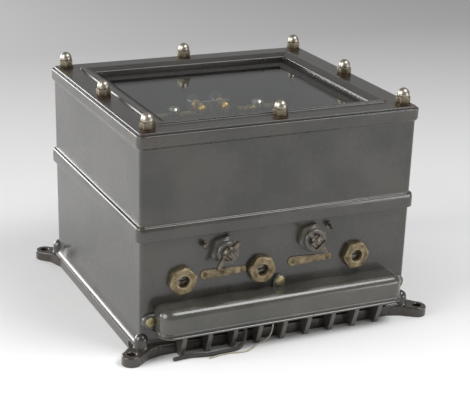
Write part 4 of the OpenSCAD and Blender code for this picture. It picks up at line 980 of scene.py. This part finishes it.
def stacked(outline, rows_mm):
    """Outlines stacked up from rows of inset and height, with one face over each end."""
    loops = [outline(inset * MM) for inset, _ in rows_mm]
    points = np.vstack([np.column_stack([loop, np.full(len(loop), height * MM)])
                        for loop, (_, height) in zip(loops, rows_mm)])
    return points, capped_grid(len(loops), len(loops[0]))


def against_front(points, x, z):
    """Points of a flat shape, its height in their third number, stood up on the front."""
    return np.column_stack([x + points[:, 0], -HALF_Y - points[:, 2], z + points[:, 1]])


def plate(x):
    """Rows of the outline from the back edge to the face, with a soft rim, a scribed
    line and the flat middle as one face, stood up against the front."""
    points, faces = stacked(plate_outline, [(0, 0), (0, 0.8), (0.12, 1.08), (0.35, 1.2),
                                            (0.8, 1.2), (0.95, 1.0), (1.15, 1.0), (1.3, 1.2)])
    return against_front(points, x, PLATE_Z), faces


# Rolled brass plate gone dull; its screws are darker, with dirt in their slots.
PLATE_BRASS = worn_brass("dull_plate_brass", "5f5442", "7f745f", "978a72", 0.48)
stands_for(mesh_object("tapered_label_plates", join(*[plate(x) for x in CLAMP_X]), PLATE_BRASS,
                       0.4), "label_plates")
SCREW_BRASS = worn_brass("plate_screw_brass", "3a3122", "6b5f45", "94876a", 0.4)
softened(SCREW_BRASS, 0.2, "label_plate_screws")
softened(HANDLE_STEEL, 0.3, "seal_pegs")


# ---------------------------------------------------------------------------
# Terminal cover. A long pressed and painted cover over the terminals, round along its
# top and ends, with two beads along its foot; three ears take brass screws.

COVER_FOOT, COVER_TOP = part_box("terminal_cover")[0][2], 54.5 * MM
COVER_HALF, COVER_FRONT = 136 * MM, -HALF_Y - 26.4 * MM
COVER_T, TOP_R, PLAN_R = 3 * MM, 9 * MM, 12 * MM
BEADS_MM = [[-1.0, 0], [-1.6, 0.5], [-1.6, 1.7], [-1.0, 2.2], [-0.2, 2.6], [0, 3.0], [-0.1, 3.5],
            [-0.7, 3.9], [-1.0, 4.3], [-1.0, 4.8], [-0.7, 5.3], [0, 5.6], [0, 8.0]]
EARS = ((-141 * MM, 37.5 * MM, (1, 0), 8 * MM), (141 * MM, 37.5 * MM, (-1, 0), 8 * MM),
        (0, 61 * MM, (0, -1), 6.6 * MM))
EAR_REACH, EAR_T_MM, HEAD_GROWS = 8.5 * MM, 3.5, 1.2


def cover_loop(inset, height):
    """Open U seen from above: from the case along the left side, round the corner, along
    the front, round the corner and back, drawn in by the inset."""
    half, front, r = COVER_HALF - inset, COVER_FRONT + inset, max(PLAN_R - inset, 1.5 * MM)
    a = np.linspace(0, np.pi / 2, 9)
    left = np.column_stack([-half + r - r * np.cos(a), front + r - r * np.sin(a)])
    side = np.linspace(0, 1, 5)[:-1, None]
    left_side = np.array([-half, -HALF_Y]) * (1 - side) + left[0] * side
    span = shares(2 * (half - r), EDGE_GAP, 12 * MM)[:, None]
    front_line = left[-1] * (1 - span) + (left[-1] * [-1, 1]) * span
    loop = np.vstack([left_side, left, front_line, left[::-1] * [-1, 1], left_side[::-1] * [-1, 1]])
    return np.column_stack([loop, np.full(len(loop), height)])


def cover_shell():
    """Outer and inner U surfaces with the same rows, closed by their tops, by a rim along
    the foot and by a rim where the back meets the case."""
    t = np.linspace(0, np.pi / 2, 8)
    beads = np.array(BEADS_MM) * MM + [0, COVER_FOOT]
    rise = COVER_TOP - TOP_R
    inner_r = TOP_R - COVER_T
    outer = np.vstack([beads, np.column_stack([TOP_R * (1 - np.cos(t)),
                                               rise + TOP_R * np.sin(t)])])
    inner = np.vstack([np.column_stack([np.full(len(beads), COVER_T), beads[:, 1]]),
                       np.column_stack([TOP_R - inner_r * np.cos(t),
                                        rise + inner_r * np.sin(t)])])
    loops = [cover_loop(i, h) for i, h in np.vstack([outer, inner])]
    n, m = len(loops[0]), len(outer)
    faces = [quad for start in (0, m * n)
             for quad in grid_faces(m, n, close_columns=False, start=start)]
    last, inner_last = (m - 1) * n, (2 * m - 1) * n
    faces += [list(range(last, last + n)), list(range(inner_last, inner_last + n))]
    faces += [[c, c + 1, m * n + c + 1, m * n + c] for c in range(n - 1)]
    for c in (0, n - 1):
        faces += [[r * n + c, (r + 1) * n + c, (m + r + 1) * n + c, (m + r) * n + c]
                  for r in range(m - 1)]
    faces.append([last, last + n - 1, inner_last + n - 1, inner_last])
    return np.vstack(loops), faces


def ear(x, z, toward, radius):
    """Rounded ear: a half circle about the screw and two straights back to the cover, in
    the given direction, raised from the case with a soft front edge."""
    a = np.linspace(-np.pi / 2, np.pi / 2, 17)

    def outline(inset):
        """Half circle of the radius less the inset, and the far ends of its straights."""
        r = radius - inset
        return np.vstack([np.column_stack([r * np.cos(a), r * np.sin(a)]),
                          [[-EAR_REACH, r], [-EAR_REACH, -r]]])

    points, faces = stacked(outline, [(0, 0.02), (0, 2.5), (0.3, 3.1), (0.9, EAR_T_MM)])
    ux, uz = toward
    points[:, :2] = points[:, :2] @ [[-ux, -uz], [uz, -ux]]
    return against_front(points, x, z), faces


def widen_heads(screws):
    """Moves the points of each screw's head away from its axis by a fifth."""
    spots = vertices_of(screws)
    for x, z, _, _ in EARS:
        head = ((np.hypot(spots[:, 0] - x, spots[:, 2] - z) < 6 * MM)
                & (spots[:, 1] < -HALF_Y - (EAR_T_MM - 0.1) * MM))
        middle = np.array([x, spots[0, 1], z])
        spots[head] = middle + (spots[head] - middle) * [HEAD_GROWS, 1, HEAD_GROWS]
    screws.data.vertices.foreach_set("co", spots.ravel())


# The case enamel, a shade paler, smoother on pressed sheet and knocked at its edges.
COVER_PAINT = oil_enamel("knocked_grey_enamel", "3b3b37", "4d4b45", "4c4236", "9a958a", 0.22)
cover = stands_for(mesh_object("long_terminal_cover", join(cover_shell(), *[ear(*e) for e in EARS]),
                               COVER_PAINT, 0.6), "terminal_cover")
mark_edges(cover, 0.8)
COVER_BRASS = worn_brass("screw_brass", "6b6146", "9c9270", "bdb38e", 0.38)
widen_heads(softened(COVER_BRASS, 0.35, "cover_screws"))


# ---------------------------------------------------------------------------
# Cable ways. Nine cast ribs under the cover part the eight cable tails; they are
# painted with the case and are the part that dirt reaches first.

RIB_PAINT = oil_enamel("dusty_rib_enamel", "3f3d39", "56534d", "4c4134", "8f8b82", 0.42)
softened(RIB_PAINT, 1.2, "cable_ribs", segments=3)


# ---------------------------------------------------------------------------
# Terminals. An ebonite block with eight brass studs and nuts, and the cotton-covered
# wires that run from them up to the movements.

# Ebonite browned by light and half matt, lacquered brass still bright, waxed cotton.
EBONITE = clouded("brown_black_ebonite", "1d1916", "2f2823", 0.38, 0.0, 90.0, 0.2 * MM)
BRIGHT_BRASS = clouded("lacquered_brass", "9a7a3c", "dcbc74", 0.24, 1.0, 120.0, 0.2 * MM)
COTTON = clouded("waxed_green_cotton", "3f4436", "6a6c55", 0.8, 0.0, 800.0)
softened(EBONITE, 0.6, "terminal_block")
softened(BRIGHT_BRASS, 0.2, "terminal_studs")
softened(BRIGHT_BRASS, 0.25, "terminal_nuts")
refinish(COTTON, "internal_wiring")


# ---------------------------------------------------------------------------
# Deck. A slate-grey plate on four pillars carries both movements, the rail behind
# them and the guides of the clamps.

DECK_PAINT = oil_enamel("instrument_deck_enamel", "2b2b2a", "3a3936", "33302b", "5f5c56", 0.5)
softened(DECK_PAINT, 0.6, "deck")
softened(NICKEL, 0.5, "deck_pillars")
softened(BRIGHT_BRASS, 0.5, "rear_rail")
softened(NICKEL, 0.2, "guide_rods")
softened(BRIGHT_BRASS, 0.5, "lifter_guides")
softened(DARK_STEEL, 0.3, "fixing_screws")
softened(NICKEL, 0.4, "clamp_lifter_left", "clamp_lifter_right")


# ---------------------------------------------------------------------------
# Movements. Each has a forged magnet, lacquered red, soft-iron poles and core, a copper
# coil on a staff with its little mirror, and a brass bridge with its torsion head.

# Red lacquer brushed along the limbs, machined iron, and silvered glass.
MAGNET_RED = clouded("brushed_magnet_lacquer", "5a1c16", "7f2a20", 0.35, 0.0, 60.0,
                     stretch=(1.0, 1.0, 0.3))
SOFT_IRON = clouded("machined_soft_iron", "55534f", "86837d", 0.4, 1.0, 200.0, 0.2 * MM)
MIRROR = clouded("silvered_mirror_glass", "c9ccd0", "e3e6e8", 0.05, 1.0, 30.0, 0.05 * MM)


def copper_winding(name):
    """Enamelled copper wire laid in even turns; the turns are drawn coarser than real ones,
    which are too fine to show."""
    material, add, place = new_material(name)
    turns = add("TexWave", bands_direction="Y", Vector=place, Scale=700.0,
                Distortion=0.2).outputs["Fac"]
    tone = add("ValToRGB", stops=((0.1, "5e2c17"), (0.8, "c07a4c")), Fac=turns)
    return dressed(material, turns, 0.5, 0.2 * MM, Base_Color=tone, Roughness=0.35, Metallic=0.8)


COPPER = copper_winding("enamelled_copper_winding")
softened(MAGNET_RED, 0.8, "magnets", segments=3)
softened(SOFT_IRON, 0.4, "pole_pieces")
softened(SOFT_IRON, 0.3, "cores")
softened(BRIGHT_BRASS, 0.4, "suspension_bridges")
softened(NICKEL, 0.4, "torsion_heads")
refinish(COPPER, "coil_left", "coil_right")
refinish(MIRROR, "mirror_left", "mirror_right")
softened(BRIGHT_BRASS, 0.3, "torsion_arm_left", "torsion_arm_right")
softened(BRIGHT_BRASS, 0.5, "carriage_left", "carriage_centre", "carriage_right")


# ---------------------------------------------------------------------------
# Lamps. Two small tubular lamps lie on a brass bracket and light the mirrors: turned
# brass caps, thin glass, a filament on two support wires.

BULB_LOW, BULB_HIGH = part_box("lamp_bulbs")
BULB_R, NECK_R, BULB_T = (BULB_HIGH[2] - BULB_LOW[2]) / 2, 5.2 * MM, 0.5 * MM
LAMP_X = (BULB_LOW[0] + BULB_R, BULB_HIGH[0] - BULB_R)
LAMP_Z = (BULB_HIGH[2] + BULB_LOW[2]) / 2


def bulb(x):
    """Blown globe on a short neck, 0.5 mm thick: the outer profile runs from the neck over
    the globe to its pole, and the inner one comes back half a millimetre inside."""
    t = np.linspace(np.pi - math.asin(NECK_R / BULB_R), 0.02, 24)

    def side(r, neck):
        """Profile of one wall: its neck, then a circle from there round to the pole."""
        globe = np.column_stack([r * np.sin(t), BULB_HIGH[1] - BULB_R + r * np.cos(t)])
        return np.vstack([[[neck, BULB_LOW[1] + 0.1 * MM]], globe[globe[:, 0] > 0][1:]])

    outer, inner = side(BULB_R, NECK_R), side(BULB_R - BULB_T, NECK_R - BULB_T)
    inner[1:, 0] = np.minimum(inner[1:, 0], np.maximum(outer[1:, 0] - 0.25 * MM, 0.1 * MM))
    section = np.vstack([outer, inner[::-1]]) * [1, -1]
    return turned(section, [x, 0, LAMP_Z], 40, "front", closed=True)


def capped_tube(route, radius, sides=8):
    """Tube round a route with one face over each end."""
    tube, _ = along_route(route, radius, sides)
    return tube.reshape(-1, 3), capped_grid(len(route), sides)


def filament(x):
    """Two support wires and a hooped filament: thin tubes along short routes. The hoop is
    half an ellipse that waves up and down four times."""
    base, tip = BULB_LOW[1] + 0.3 * MM, BULB_HIGH[1] - 7 * MM
    wires = []
    for s in (-1, 1):
        start, end = np.array([[x + s * 1.2 * MM, base, LAMP_Z], [x + s * 1.8 * MM, tip, LAMP_Z]])
        route = start + (end - start) * np.linspace(0, 1, 6)[:, None]
        wires.append(capped_tube(route, 0.2 * MM))
    t = np.linspace(np.pi, 0, 30)
    hoop = np.column_stack([x + 1.8 * MM * np.cos(t), tip + 2.2 * MM * np.sin(t),
                            LAMP_Z + 0.4 * MM * np.sin(8 * t)])
    return join(*wires, capped_tube(hoop, 0.12 * MM))


softened(NICKEL, 0.4, "lamp_bracket")
CAP_BRASS = worn_brass("lamp_cap_brass", "8a6a2e", "c79a4c", "f0c878", 0.22)
softened(CAP_BRASS, 0.5, "lamp_caps", segments=3)
stands_for(mesh_object("blown_lamp_bulbs", join(*[bulb(x) for x in LAMP_X]),
                       clear_glass("thin_lamp_glass", "f2f4f2"), 0.8), "lamp_bulbs")
filaments = mesh_object("lamp_filaments", join(*[filament(x) for x in LAMP_X]), NICKEL)
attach(filaments, "case")
